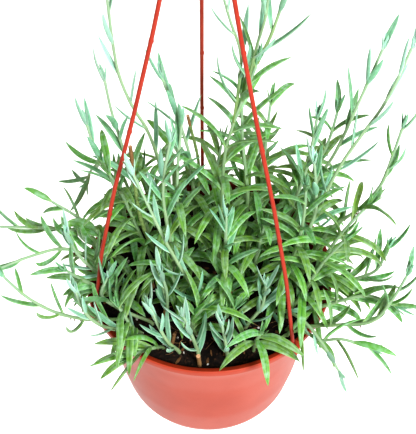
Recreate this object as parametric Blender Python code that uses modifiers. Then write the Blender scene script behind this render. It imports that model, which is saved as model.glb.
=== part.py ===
"""A potted string of fishhooks in a moulded hanging pot, built in Blender.

The origin is the centre of the pot's flat base, +Z is up and the scene's unit is the metre.
The turned pot carries the soil, three hanger arms snap into the ears on its lip, and every
leafy stem stands in a hole of its own in the soil.
"""

import math
import random
from collections import namedtuple

import bmesh
import bpy
import numpy as np
from mathutils import Vector

MM = 0.001
SEED = 7

# The pot, in millimetres. Depths are below the rim and radii are from the axis.
RIM_RADIUS = 80.0
POT_HEIGHT = 118.0
BASE_RADIUS = 46.0
LIP_HEIGHT = 4.4
LIP_WIDTH = 3.5
WALL = 2.0
FLOOR = 3.0
TURN_STEPS = 28
# Depths at which the wall and the soil against it change slope
WALL_DEPTHS = (104, 42, 8, 0)
SOIL_DEPTHS = (42, 104)
# Depth and radius of the outside, from below the lip down to the base
BOWL = ((LIP_HEIGHT, 76.0), (20.0, 71.0), (42.0, 67.2), (80.0, 63.0), (104.0, 58.2), (113.0, 53.0))
INNER_DROP = 1.6
DRAIN_RADIUS = 4.0
DRAIN_RING = 26.0
DRAIN_COUNT = 4

# The soil, a little below the rim, with a plain hole for each stem
SOIL_DEPTH = 9.0
FIT_GAP = 0.3
ROOT_DEPTH = 6.0
ROOT_RISE = 2.0
HOLE_GAP = 1.1
HOLE_SIDES = 4

# The hanger: three arms from the ears on the lip to a hub with a hook
ARM_ANGLES = {"left": 206.5, "right": 310.8, "back": 93.4}
ARM_RADIUS = 1.2
# Distance from the axis and height above the rim, from the ear up the arm
ARM_LINE = ((79.0, 2.0), (78.0, 10.0), (74.0, 34.0), (63.0, 84.0), (45.5, 142.0), (23.5, 222.0), (4.4, 304.0))
ARM_STEP = 52.0
HUB_LEAN = -4.5
NUB_HEIGHTS = (84.0, 142.0, 198.0)
NUB_LENGTH = 1.6
NUB_SWELL = 1.35
EAR_REACH = 79.0
EAR_RADIUS = 4.6
EAR_PROUD = 0.5
EAR_BORE = 1.8
EAR_SIDES = 12
BORE_SIDES = 8
FOOT_DROP = 8.2
FOOT_SWELL = 1.87
FOOT_TIP = 0.7
# Where the foot's bead starts, swells and ends, below its seat under the ear
FOOT_STEPS = (2.2, 0.6, -0.4, -1.0)
HUB_RADIUS = 8.0
HUB_BOTTOM = 299.0
HUB_TOP = 314.0
HUB_SLOPE = 5.0
HUB_STEPS = 20
SOCKET_RADIUS = 1.7
SOCKET_LENGTH = 10.0
HOOK_WIRE = 2.2
HOOK_LOOP = 14.0
HOOK_NECK = 10.0
HOOK_SUNK = 4.0
HOOK_STEP = 8.0
# Angles round the loop in degrees, from over the neck to the open end
HOOK_START, HOOK_END, HOOK_TURN = -64, 217, 20

# The leafy stems
STEM_RADIUS = 1.25
STEM_TAPER = 0.62
STEM_STEP = 20.0
CLEARANCE = 0.5
NEAR = 16.0
POT_LIFT = 0.8
STEM_GAP = 1.2
SWEEPS = 240
RENEW_EVERY = 12
PUSH_SHARE = 0.45
LONGEST_MOVE = 1.5
FORK_SIZE = 0.8
GOLDEN_ANGLE = 137.5
CURVED_RINGS = (0.0, 0.3, 0.64)
STRAIGHT_RINGS = (0.0, 0.42)
CURVED_FROM = 72.0
LEAF_PETIOLE = 0.24
LEAF_TOP = 0.13
LEAF_KEEL = 0.34
# Below this turn in radians a leaf counts as straight, and past this slope it has no up or down
STRAIGHT_TURN = 0.02
LEAST_INWARD = 0.2
UPRIGHT_SHARE = 0.4
LEVEL_LIMIT = 0.75
LEAST_CAPSULE = 0.3
TIP_SHORTER = 0.3
LAST_LEAF = 0.985
TURN_DRAW, SPREAD_DRAW, BEND_DRAW, LENGTH_DRAW = 12.0, 5.0, 8.0, 0.12
LEAF_TRIES = 26
SWING = 26.0
SMALLER_FROM, RANDOM_FROM, SMALLEST_FROM = 8, 14, 18
CAPSULE_SIZE = 0.31
CAPSULE_ASIDE = 0.22
SAMPLE_STEP = 2.0

Habit = namedtuple("Habit", "width tip_width spread tip_spread bend tip_bend bare")
# Widths in millimetres and angles in degrees, for the lowest leaf and the one at the tip. A leaf
# with a plus bend arches down and one with a minus bend turns up like a hook. Bare is the share
# of the stem below its first leaf.
YOUNG = Habit(3.5, 2.8, 42, 18, -30, -8, 0.16)
GROWN = Habit(4.6, 3.3, 44, 16, 100, -14, 0.1)
MATURE = Habit(4.9, 3.9, 44, 26, 104, 40, 0.12)
ARCHING = Habit(5.1, 4.4, 42, 34, 122, 84, 0.12)
FALLING = Habit(5.1, 4.6, 34, 12, 46, 30, 0.4)
HOOKED = Habit(4.1, 3.4, 60, 30, -96, -40, 0.16)

Shoot = namedtuple("Shoot", "stem fork leaves length habit phase route")
# A route starts at the soil and runs on through points in millimetres from the rim's centre.
# A shoot with a fork grows out of the first shoot of its stem, at that share of its length.
SHOOTS = (
    Shoot("tall_left", 0, 10, 36, YOUNG, 20, ((-22, 18), (-33, 28, 80), (-52, 36, 129), (-58, 48, 194))),
    Shoot("left_upper", 0, 9, 34, GROWN, 180, ((-34, 12), (-52, 20, 90), (-58, 24, 121), (-60, 26, 139))),
    Shoot("left_fan", 0, 9, 36, GROWN, 200, ((-46, 14), (-60, 18, 63), (-69, 22, 86), (-73, 26, 104))),
    Shoot("left_arch", 0, 8, 48, ARCHING, 180, ((-32, -2), (-53, 4, 66), (-60, 5, 84))),
    Shoot("left_high", 0, 8, 31, MATURE, 90, ((-56, 4), (-74, 8, 33), (-91, 15, 38), (-101, 20, 43))),
    Shoot("left_long", 0, 8, 34, HOOKED, 0, ((-62, -6), (-76, 2, 30), (-103, 5, 33), (-134, 8, 31))),
    Shoot("left_curl", 0, 8, 34, HOOKED, 60, ((-58, -18), (-76, -18, 34), (-95, -20, 42), (-126, -35, 42))),
    Shoot("left_thin", 0, 7, 31, HOOKED, 0, ((-50, -36), (-79, -52, 16), (-103, -50, 28), (-122, -42, 44))),
    Shoot("left_tuft", 0, 9, 31, YOUNG, 30, ((-48, -14), (-76, -20, 31), (-84, -22, 58))),
    Shoot("left_low", 0, 9, 34, MATURE, 180, ((-44, -28), (-69, -32, 20), (-84, -42, 50))),
    Shoot("left_rim", 0, 8, 28, YOUNG, 0, ((-42, -46), (-61, -56, 12), (-71, -62, 32), (-76, -62, 56))),
    Shoot("left_blade", 0, 8, 35, GROWN, 60, ((-36, -38), (-64, -38, 16), (-60, -38, 40))),
    Shoot("front_slant", 0, 12, 30, YOUNG, 200, ((2, -31), (-7, -34, 18), (-23, -38, 66), (-41, -38, 128))),
    Shoot("front_left_tuft", 0, 8, 30, YOUNG, 180, ((-26, -44), (-25, -46, 34), (-28, -48, 56))),
    Shoot("back_left", 0, 12, 36, GROWN, 150, ((-8, 30), (-12, 34, 66), (-20, 39, 98), (-28, 44, 124))),
    Shoot("mid_left", 0, 9, 32, GROWN, 200, ((-20, -8), (-26, -8, 59), (-27, -6, 86), (-22, -2, 118))),
    Shoot("mid_slim", 0, 8, 32, GROWN, 0, ((-12, 8), (-19, 6, 45), (-19, 9, 82), (-16, 13, 117))),
    Shoot("main", 0, 14, 45, MATURE, 180, ((6, 6), (8, 8, 53), (10, 12, 100), (26, 20, 156))),
    Shoot("main", 0.96, 5, 35, YOUNG, 0, ((31, 22, 167), (38, 26, 192), (42, 28, 210))),
    Shoot("main", 0.9, 5, 33, YOUNG, 180, ((25, 15, 172), (29, 12, 196), (30, 14, 212))),
    Shoot("main", 0.8, 6, 33, YOUNG, 160, ((17, 24, 158), (9, 28, 184), (5, 30, 200))),
    Shoot("second", 0, 11, 43, MATURE, 0, ((22, 14), (24, 18, 49), (20, 22, 89), (18, 28, 130))),
    Shoot("arch_right", 0, 9, 43, ARCHING, 20, ((32, 24), (34, 30, 79), (36, 36, 112))),
    Shoot("right_tall", 0, 8, 36, GROWN, 180, ((44, 14), (68, 20, 67), (78, 24, 90), (97, 34, 156))),
    Shoot("right_thick", 0, 10, 35, YOUNG, 180, ((54, 4), (75, 8, 80), (100, 18, 130), (111, 25, 165))),
    Shoot("right_elbow", 0, 8, 32, HOOKED, 90, ((56, -8), (73, -10, 50), (98, -6, 79), (108, 0, 128))),
    Shoot("right_cluster", 0, 11, 35, GROWN, 40, ((36, 8), (57, 14, 69), (62, 18, 118))),
    Shoot("right_back", 0, 9, 34, MATURE, 90, ((44, 28), (70, 31, 76), (76, 34, 108))),
    Shoot("right_slim", 0, 10, 34, GROWN, 20, ((42, -12), (61, -13, 57), (62, -12, 84), (59, -12, 111))),
    Shoot("right_pale", 0, 10, 40, MATURE, 180, ((42, -22), (49, -22, 26), (55, -20, 64), (55, -19, 97))),
    Shoot("right_arch", 0, 8, 49, ARCHING, 0, ((60, -18), (75, -20, 50), (92, -17, 80))),
    Shoot("right_fall", 0, 8, 47, ARCHING, 330, ((50, -32), (66, -34, 44), (79, -34, 70))),
    Shoot("right_trail", 0, 9, 31, HOOKED, 90, ((50, -42), (72, -52, 11), (98, -62, 30), (113, -56, 66))),
    Shoot("right_hooks", 0, 9, 35, HOOKED, 0, ((64, -8), (86, -20, 14), (101, -23, 24), (108, -20, 46))),
    Shoot("right_low", 0, 8, 35, MATURE, 90, ((58, -30), (82, -40, 20), (98, -45, 31), (111, -54, 33))),
    Shoot("right_leaf", 0, 8, 36, MATURE, 270, ((40, -54), (66, -64, 12), (80, -72, 24), (95, -78, 24))),
    Shoot("grey_trail", 0, 6, 19, YOUNG, 270, ((38, -30), (52, -44, 12), (66, -66, 16), (77, -88, 13))),
    Shoot("front_right_tuft", 0, 9, 32, YOUNG, 180, ((24, -40), (33, -41, 16), (34, -42, 38))),
    Shoot("front_shoot", 0, 10, 31, GROWN, 180, ((12, -22), (10, -23, 27), (10, -23, 78))),
    Shoot("front_pale", 0, 8, 31, YOUNG, 100, ((-6, -62), (-10, -65, 18), (-15, -64, 36))),
    Shoot("front_stub", 0, 8, 29, YOUNG, 0, ((12, -64), (10, -66, 14), (8, -66, 30))),
    Shoot("front_low", 0, 8, 29, YOUNG, 150, ((-18, -60), (-26, -66, 16), (-34, -64, 45))),
    Shoot("front_fall", 0, 7, 38, FALLING, 60, ((-28, -57), (-35, -64, 2), (-47, -72, 5))),
    Shoot("front_right", 0, 8, 41, ARCHING, 300, ((28, -58), (28, -64, 9), (31, -68, 24))),
    Shoot("front_cross", 0, 8, 47, ARCHING, 30, ((-8, -46), (-11, -49, 9), (-3, -51, 26))),
    Shoot("front_mid", 0, 8, 45, ARCHING, 0, ((12, -46), (8, -49, 8), (16, -50, 24))),
    Shoot("front_left", 0, 9, 43, ARCHING, 40, ((-40, -50), (-47, -56, 15), (-53, -58, 36))),
    Shoot("back_right", 0, 8, 38, MATURE, 0, ((42, 44), (60, 66, 24), (74, 86, 14), (84, 98, -14))),
    Shoot("back_mid_right", 0, 8, 38, HOOKED, 0, ((20, 48), (26, 76, 30), (34, 102, 18), (37, 114, -18))),
    Shoot("back_middle", 0, 8, 38, MATURE, 180, ((-22, 50), (-26, 78, 28), (-30, 104, 14), (-32, 114, -22))),
    Shoot("back_side_left", 0, 8, 38, HOOKED, 0, ((-44, 38), (-60, 60, 28), (-78, 78, 16), (-88, 88, -14))),
    Shoot("inner_left", 0, 8, 43, ARCHING, 90, ((-32, 30), (-38, 34, 26), (-42, 42, 52))),
    Shoot("inner_back", 0, 8, 43, ARCHING, 90, ((4, 44), (4, 52, 28), (8, 60, 56))),
    Shoot("inner_front", 0, 9, 41, ARCHING, 60, ((-16, -26), (-20, -26, 14), (-26, -24, 36))),
    Shoot("inner_right", 0, 9, 43, ARCHING, 240, ((28, -6), (30, -6, 20), (34, -4, 48))),
)


def smooth_route(points, step):
    """Points every step or so along a smooth curve through the given ones."""
    points = np.array(points, float)
    ends = [2 * points[0] - points[1], *points, 2 * points[-1] - points[-2]]
    fine = []
    for before, start, end, after in zip(ends, ends[1:], ends[2:], ends[3:]):
        for t in np.linspace(0, 1, 12, endpoint=False):
            square = (2 * before - 5 * start + 4 * end - after) * t**2
            cube = (3 * start - before - 3 * end + after) * t**3
            fine.append(0.5 * (2 * start + (end - before) * t + square + cube))
    fine = np.array(fine + [points[-1]])
    run = np.concatenate([[0], np.cumsum(np.linalg.norm(np.diff(fine, axis=0), axis=1))])
    places = np.linspace(0, run[-1], max(2, round(run[-1] / step)) + 1)
    return np.stack([np.interp(places, run, fine[:, axis]) for axis in range(3)], axis=1)


def unit(vector):
    return vector / np.linalg.norm(vector)


def closest(a_start, a_end, b_start, b_end):
    """The vector between two segments' nearest points, and where those lie, for arrays of both."""
    along_a = a_end - a_start
    along_b = b_end - b_start
    between = a_start - b_start
    aa = np.maximum((along_a**2).sum(-1), 1e-9)
    bb = np.maximum((along_b**2).sum(-1), 1e-9)
    ab = (along_a * along_b).sum(-1)
    a_off = (along_a * between).sum(-1)
    b_off = (along_b * between).sum(-1)
    share_a = np.clip((ab * b_off - a_off * bb) / np.maximum(aa * bb - ab**2, 1e-9), 0, 1)
    share_b = np.clip((ab * share_a + b_off) / bb, 0, 1)
    share_a = np.clip((ab * share_b - a_off) / aa, 0, 1)
    vector = between + share_a[..., None] * along_a - share_b[..., None] * along_b
    return vector, share_a, share_b


def around(angle, radius, height):
    """A point at an angle in degrees round the axis."""
    return np.array([radius * math.cos(math.radians(angle)), radius * math.sin(math.radians(angle)), height])


def arm_route(angle):
    """An arm's middle line, from its ear up to the hub, which leans a little to one side."""
    points = np.array([around(angle, radius, height) for radius, height in ARM_LINE])
    points[:, 0] += HUB_LEAN * points[:, 2] / HUB_BOTTOM
    return points


def bowl_inner(depth):
    """The pot's inner radius at a depth below the rim."""
    depths = [0.0, *(point[0] + INNER_DROP for point in BOWL[:-1]), POT_HEIGHT - FLOOR]
    radii = [RIM_RADIUS - LIP_WIDTH, *(point[1] - WALL for point in BOWL[:-1]), BASE_RADIUS - WALL]
    return float(np.interp(depth, depths, radii))


def pot_outline():
    """The soil's top, the rim and the outside of the pot, as radius and height."""
    inner = [(0.0, -SOIL_DEPTH), (bowl_inner(SOIL_DEPTH), -SOIL_DEPTH), (bowl_inner(0), 0.0)]
    outer = [(RIM_RADIUS, 0.0), (RIM_RADIUS, -LIP_HEIGHT), *((radius, -depth) for depth, radius in BOWL)]
    return np.array(inner + outer + [(BASE_RADIUS, -POT_HEIGHT), (0.0, -POT_HEIGHT)])


def pot_distance(points, outline):
    """How far each point lies from the pot and its soil, less than nothing inside them."""
    flat = np.stack([np.hypot(points[:, 0], points[:, 1]), points[:, 2]], axis=1)
    start, along = outline[:-1], np.diff(outline, axis=0)
    offset = flat[:, None] - start[None]
    share = np.clip((offset * along).sum(-1) / (along**2).sum(-1), 0, 1)
    away = offset - share[..., None] * along
    nearest = np.linalg.norm(away, axis=-1).min(axis=1)
    crossings = np.zeros(len(flat), int)
    for first, second in zip(outline, np.roll(outline, -1, axis=0)):
        spans = (first[1] > flat[:, 1]) != (second[1] > flat[:, 1])
        rise = second[1] - first[1] or 1.0
        crossings += spans & (flat[:, 0] < first[0] + (flat[:, 1] - first[1]) * (second[0] - first[0]) / rise)
    return np.where(crossings % 2 == 1, -nearest, nearest)


class Obstacles:
    """Capsules that a stem or a leaf keeps clear of, each with the stem that it belongs to."""

    def __init__(self):
        self.start = np.zeros((0, 3))
        self.end = np.zeros((0, 3))
        self.radius = np.zeros(0)
        self.owner = np.zeros(0, int)
        self.root = np.zeros(0, bool)

    def add(self, line, radii, owner, rooted=False):
        radii = np.asarray(radii, float)
        self.start = np.vstack([self.start, line[:-1]])
        self.end = np.vstack([self.end, line[1:]])
        self.radius = np.concatenate([self.radius, np.maximum(radii[:-1], radii[1:])])
        self.owner = np.concatenate([self.owner, np.full(len(line) - 1, owner)])
        self.root = np.concatenate([self.root, [rooted], np.zeros(len(line) - 2, bool)])

    def clear_of(self, line, radii, keep):
        """True where the line's capsules miss every kept obstacle by the clearance."""
        if not keep.any():
            return True
        others = self.start[keep][None], self.end[keep][None]
        vector, _, _ = closest(line[:-1, None], line[1:, None], *others)
        reach = np.maximum(radii[:-1], radii[1:])[:, None] + self.radius[keep][None] + CLEARANCE
        return bool((np.linalg.norm(vector, axis=-1) > reach).all())


def stem_radii(count):
    return STEM_RADIUS * np.linspace(1, STEM_TAPER, count)


def fixed_obstacles():
    """The hanger's arms and the ears."""
    found = Obstacles()
    for angle in ARM_ANGLES.values():
        line = smooth_route(arm_route(angle), ARM_STEP)
        found.add(line, np.full(len(line), ARM_RADIUS * NUB_SWELL), -1)
        ear = np.array([around(angle, EAR_REACH, -FOOT_DROP), around(angle, EAR_REACH, EAR_PROUD)])
        found.add(ear, np.full(2, EAR_RADIUS), -1)
    return found


def near_pairs(starts, ends, owner, moving):
    """Segments of different stems that lie near each other, as two lists of their numbers."""
    middle = (starts + ends) / 2
    half = np.linalg.norm(ends - starts, axis=1) / 2
    apart = np.linalg.norm(middle[:moving, None] - middle[None], axis=-1)
    near = (apart < half[:moving, None] + half[None] + NEAR) & (owner[:moving, None] != owner[None])
    return np.nonzero(near)


def bend_clear(lines, owners, held, fixed):
    """Pushes lines of different stems apart, and off the fixed capsules, with their roots held."""
    sizes = [len(line) for line in lines]
    points = np.vstack(lines)
    first = np.concatenate([[0], np.cumsum(sizes)[:-1]])
    at = np.concatenate([np.arange(start, start + size - 1) for start, size in zip(first, sizes)])
    owner = np.concatenate([np.full(size - 1, name) for name, size in zip(owners, sizes)])
    owner = np.concatenate([owner, fixed.owner])
    radius = np.concatenate([stem_radii(size)[:-1] for size in sizes] + [fixed.radius])
    loose = np.ones(len(points))
    outline = pot_outline()
    for start, size, count in zip(first, sizes, held):
        loose[start : start + min(count, size)] = 0
    for sweep in range(SWEEPS):
        starts = np.vstack([points[at], fixed.start])
        ends = np.vstack([points[at + 1], fixed.end])
        if sweep % RENEW_EVERY == 0:
            one, other = near_pairs(starts, ends, owner, len(at))
        thirds = [starts[: len(at)] * (1 - share) + ends[: len(at)] * share for share in (0, 1 / 3, 2 / 3)]
        over = pot_distance(np.vstack(thirds), outline)
        low = over.reshape(3, -1).min(axis=0) < STEM_RADIUS + 2 * CLEARANCE
        vector, share, _ = closest(starts[one], ends[one], starts[other], ends[other])
        gap = np.linalg.norm(vector, axis=-1)
        short = np.maximum(radius[one] + radius[other] + STEM_GAP - gap, 0)
        low &= (loose[at] + loose[at + 1]) > 1
        if short.max(initial=0) <= 0 and not low.any():
            break
        push = vector / np.maximum(gap, 1e-6)[:, None] * short[:, None] * PUSH_SHARE
        moves = np.zeros_like(points)
        np.add.at(moves, at[one], push * (1 - share)[:, None])
        np.add.at(moves, at[one] + 1, push * share[:, None])
        np.add.at(moves, at[low] + 1, (0, 0, POT_LIFT))
        points += np.clip(moves, -LONGEST_MOVE, LONGEST_MOVE) * loose[:, None]
    return [points[start : start + size] for start, size in zip(first, sizes)]


def rooted(route):
    """The route of a stem that stands in the soil, straight up out of its hole."""
    (x, y), rest = route[0], route[1:]
    return [(x, y, ROOT_RISE - SOIL_DEPTH), *rest], np.array([[x, y, -SOIL_DEPTH - ROOT_DEPTH]])


def plan_stems():
    """The centre line of each shoot, clear of the others, with the number of its stem."""
    fixed = fixed_obstacles()
    names = list(dict.fromkeys(shoot.stem for shoot in SHOOTS))
    lines = {}
    main = [shoot for shoot in SHOOTS if not shoot.fork]
    routes = []
    for shoot in main:
        above, below = rooted(shoot.route)
        routes.append(np.vstack([below, smooth_route(above, STEM_STEP)]))
    owners = [names.index(shoot.stem) for shoot in main]
    for shoot, line in zip(main, bend_clear(routes, owners, [2] * len(main), fixed)):
        lines[shoot] = line
    placed = fixed_obstacles()
    for shoot in main:
        placed.add(lines[shoot], stem_radii(len(lines[shoot])), names.index(shoot.stem))
    forks = [shoot for shoot in SHOOTS if shoot.fork]
    routes = []
    for shoot in forks:
        parent = next(lines[other] for other in main if other.stem == shoot.stem)
        base = parent[round(shoot.fork * (len(parent) - 1))]
        routes.append(smooth_route([base, *shoot.route], STEM_STEP))
    owners = [names.index(shoot.stem) for shoot in forks]
    for shoot, line in zip(forks, bend_clear(routes, owners, [1] * len(forks), placed)):
        lines[shoot] = line
    return names, lines


def blade_width(t):
    """A leaf's width at a share of its length, for a widest part of 1: pointed at both ends."""
    return 3.24 * t**0.8 * (1 - t) ** 0.9 + LEAF_PETIOLE * (1 - t)


Leaf = namedtuple("Leaf", "base ahead inward bend side length width")


def leaf_point(leaf, t):
    """Where a leaf's middle line is at a share of its length, on an arc of even curvature."""
    if abs(leaf.bend) < STRAIGHT_TURN:
        return leaf.base + leaf.ahead * leaf.length * t
    turn = leaf.bend * t
    arc = leaf.ahead * math.sin(turn) + leaf.inward * (1 - math.cos(turn))
    return leaf.base + leaf.length / leaf.bend * arc


def leaf_frame(leaf, t):
    """The unit vectors along, across and out of the face of a leaf."""
    ahead = leaf.ahead * math.cos(leaf.bend * t) + leaf.inward * math.sin(leaf.bend * t)
    across = unit(leaf.side - ahead * leaf.side.dot(ahead))
    return ahead, across, np.cross(across, ahead)


def make_leaf(base, forward, azimuth, spread, bend, length, width):
    """A leaf that leaves the stem at an angle and then arches down or hooks up."""
    level = np.array([1.0, 0, 0]) if abs(forward[0]) < LEVEL_LIMIT else np.array([0, 0, 1.0])
    right = unit(level - forward * forward.dot(level))
    outward = right * math.cos(azimuth) + np.cross(forward, right) * math.sin(azimuth)
    ahead = forward * math.cos(spread) + outward * math.sin(spread)
    side = unit(np.cross(outward, forward))
    target = np.array([0, 0, -1.0 if bend > 0 else 1.0])
    inward = target - ahead * ahead.dot(target)
    turn = min(abs(bend), math.acos(np.clip(ahead.dot(target), -1, 1)))
    if np.linalg.norm(inward) < LEAST_INWARD:
        inward, turn = outward - ahead * ahead.dot(outward), abs(bend) * UPRIGHT_SHARE
    return Leaf(base, ahead, unit(inward), turn, side, length, width)


def leaf_rings(leaf):
    """The shares of its length at which a leaf has a section: fewer where it is nearly straight."""
    return CURVED_RINGS if leaf.bend > math.radians(CURVED_FROM) else STRAIGHT_RINGS


def leaf_chains(leaf):
    """Two rows of capsules, left and right of the middle, that cover a leaf."""
    shares = np.array([*leaf_rings(leaf), 1.0])
    middle = np.array([leaf_point(leaf, t) for t in shares])
    across = np.array([leaf_frame(leaf, t)[1] for t in shares])
    widths = np.array([leaf.width * blade_width(t) for t in shares])
    radii = np.maximum(CAPSULE_SIZE * widths, LEAST_CAPSULE)
    offset = across * (CAPSULE_ASIDE * widths)[:, None]
    return middle + offset, middle - offset, radii


def close_points(line):
    """Points a small step apart along straight runs between the given ones."""
    runs = []
    for start, end in zip(line, line[1:]):
        count = max(2, round(np.linalg.norm(end - start) / SAMPLE_STEP))
        runs.append(start + (end - start) * np.linspace(0, 1, count)[:, None])
    return np.vstack(runs)


def leaf_is_clear(leaf, owner, obstacles, outline):
    left, right, radii = leaf_chains(leaf)
    others = obstacles.owner != owner
    for line in (left, right):
        if (pot_distance(close_points(line), outline) < radii.max() + CLEARANCE).any():
            return False
        if not obstacles.clear_of(line, radii, others):
            return False
        if not obstacles.clear_of(line[1:], radii[1:] - CLEARANCE, ~others & ~obstacles.root):
            return False
    return True


def tries(draw):
    """Turns round the stem, changes of spread and lengths to try for one leaf, nearest first."""
    for attempt in range(LEAF_TRIES):
        swing = (attempt + 1) // 2 * SWING * (-1) ** attempt
        if attempt >= RANDOM_FROM:
            swing = draw.uniform(-180, 180)
        size = 1.0
        if attempt >= SMALLER_FROM:
            size = 0.85
        if attempt >= SMALLEST_FROM:
            size = 0.7
        yield swing, draw.uniform(-1, 1) * attempt, size


def plan_leaves(names, lines):
    """Every leaf that finds room, by the same rule on each shoot."""
    draw = random.Random(SEED)
    outline = pot_outline()
    obstacles = fixed_obstacles()
    for shoot, line in lines.items():
        obstacles.add(line, stem_radii(len(line)), names.index(shoot.stem))
    leaves = {name: [] for name in names}
    for shoot, line in lines.items():
        owner = names.index(shoot.stem)
        habit = shoot.habit
        run = np.concatenate([[0], np.cumsum(np.linalg.norm(np.diff(line, axis=0), axis=1))])
        for number in range(shoot.leaves):
            share = number / (shoot.leaves - 1)
            place = run[-1] * (habit.bare + (LAST_LEAF - habit.bare) * share)
            base = np.array([np.interp(place, run, line[:, axis]) for axis in range(3)])
            index = min(int(np.searchsorted(run, place)), len(line) - 1)
            forward = unit(line[index] - line[index - 1])
            turn = shoot.phase + number * GOLDEN_ANGLE + draw.uniform(-TURN_DRAW, TURN_DRAW)
            spread = habit.spread + (habit.tip_spread - habit.spread) * share
            spread += draw.uniform(-SPREAD_DRAW, SPREAD_DRAW)
            bend = habit.bend + (habit.tip_bend - habit.bend) * share + draw.uniform(-BEND_DRAW, BEND_DRAW)
            length = shoot.length * (1 - TIP_SHORTER * share) * draw.uniform(1 - LENGTH_DRAW, 1 + LENGTH_DRAW)
            width = habit.width + (habit.tip_width - habit.width) * share
            for swing, wider, size in tries(draw):
                azimuth = math.radians(turn + swing)
                opening = math.radians(max(8, spread + wider))
                leaf = make_leaf(base, forward, azimuth, opening, math.radians(bend), length * size, width)
                if leaf_is_clear(leaf, owner, obstacles, outline):
                    leaves[shoot.stem].append(leaf)
                    left, right, radii = leaf_chains(leaf)
                    for chain in (left, right):
                        obstacles.add(chain, radii, owner, rooted=True)
                    break
    return leaves


# Making the meshes


def to_metres(points):
    """Points given in millimetres from the rim's centre, in metres from the base's centre."""
    return [Vector(point) * MM + Vector((0, 0, POT_HEIGHT * MM)) for point in points]


def new_collection(name):
    collection = bpy.data.collections.new(name)
    bpy.context.scene.collection.children.link(collection)
    return collection


def add_mesh(name, mesh_data, collection, material=None):
    mesh = bpy.data.meshes.new(name)
    mesh_data.to_mesh(mesh)
    mesh_data.free()
    obj = bpy.data.objects.new(name, mesh)
    collection.objects.link(obj)
    if material:
        mesh.materials.append(material)
    return obj


def simple_material(name, colour, roughness):
    material = bpy.data.materials.new(name)
    material.use_nodes = True
    shader = material.node_tree.nodes["Principled BSDF"]
    shader.inputs["Base Color"].default_value = (*colour, 1)
    shader.inputs["Roughness"].default_value = roughness
    shader.inputs["Metallic"].default_value = 0
    return material


def pot_plastic():
    return simple_material("pot plastic", (0.78, 0.14, 0.09), 0.42)


def hanger_plastic(side):
    return simple_material("hanger plastic " + side, (0.80, 0.10, 0.06), 0.38)


def potting_soil():
    return simple_material("potting soil", (0.035, 0.022, 0.016), 0.95)


def foliage(stem, habit):
    young = habit in (YOUNG, GROWN)
    colour = (0.19, 0.40, 0.27) if young else (0.10, 0.27, 0.05)
    return simple_material("foliage " + stem, colour, 0.55)


def made_mesh(obj):
    """Turns an object with its modifiers into a plain mesh object, with the caps welded."""
    graph = bpy.context.evaluated_depsgraph_get()
    mesh = bpy.data.meshes.new_from_object(obj.evaluated_get(graph))
    data = bmesh.new()
    data.from_mesh(mesh)
    bmesh.ops.remove_doubles(data, verts=data.verts, dist=1e-6)
    bmesh.ops.recalc_face_normals(data, faces=data.faces)
    data.to_mesh(mesh)
    data.free()
    plain = bpy.data.objects.new(obj.name, mesh)
    plain.matrix_world = obj.matrix_world.copy()
    for collection in obj.users_collection:
        collection.objects.link(plain)
    name = obj.name
    bpy.data.objects.remove(obj)
    plain.name = name
    return plain


def turned(name, profile, collection, material=None, centre=(0, 0)):
    """A solid of revolution from a closed profile of radius and height in millimetres."""
    data = bmesh.new()
    rows = to_metres((radius, 0, height) for radius, height in profile)
    corners = [data.verts.new(row) for row in rows]
    for start, end in zip(corners, corners[1:]):
        data.edges.new((start, end))
    obj = add_mesh(name, data, collection, material)
    obj.location = (centre[0] * MM, centre[1] * MM, 0)
    screw = obj.modifiers.new("turn", "SCREW")
    screw.steps = screw.render_steps = TURN_STEPS
    screw.use_merge_vertices = True
    screw.merge_threshold = 1e-5
    return obj


def tube(name, points, radii, collection, sides_setting=0, material=None):
    """A round tube along points in millimetres, with a radius at each."""
    curve = bpy.data.curves.new(name, "CURVE")
    curve.dimensions = "3D"
    curve.bevel_depth = MM
    curve.bevel_resolution = sides_setting
    curve.use_fill_caps = True
    spline = curve.splines.new("POLY")
    spline.points.add(len(points) - 1)
    for spot, place, radius in zip(spline.points, to_metres(points), radii):
        spot.co = (*place, 1)
        spot.radius = radius
    obj = bpy.data.objects.new(name, curve)
    collection.objects.link(obj)
    if material:
        curve.materials.append(material)
    return obj


def plug(name, place, radius, low, high, sides, cutters):
    """An upright cylinder for cutting or joining, between two heights in millimetres."""
    data = bmesh.new()
    bmesh.ops.create_cone(
        data,
        cap_ends=True,
        segments=sides,
        radius1=radius * MM,
        radius2=radius * MM,
        depth=(high - low) * MM,
    )
    obj = add_mesh(name, data, cutters)
    obj.display_type = "WIRE"
    obj.hide_render = True
    middle = to_metres([(place[0], place[1], (low + high) / 2)])[0]
    obj.location = middle
    return obj


def helper_collection(name):
    collection = new_collection(name)
    collection.hide_render = True
    return collection


def boolean(obj, operation, collection, solver="EXACT"):
    """One applied Boolean between an object and all of a collection, which is then removed."""
    bpy.context.view_layer.update()
    step = obj.modifiers.new(operation.lower(), "BOOLEAN")
    step.operation = operation
    step.operand_type = "COLLECTION"
    step.collection = collection
    step.solver = solver
    bpy.context.view_layer.update()
    plain = made_mesh(obj)
    for other in list(collection.objects):
        bpy.data.objects.remove(other)
    bpy.data.collections.remove(collection)
    return plain


def dress(obj, material):
    obj.data.materials.clear()
    obj.data.materials.append(material)
    obj.data.shade_smooth()
    obj.data.set_sharp_from_angle(angle=math.radians(40))


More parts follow.
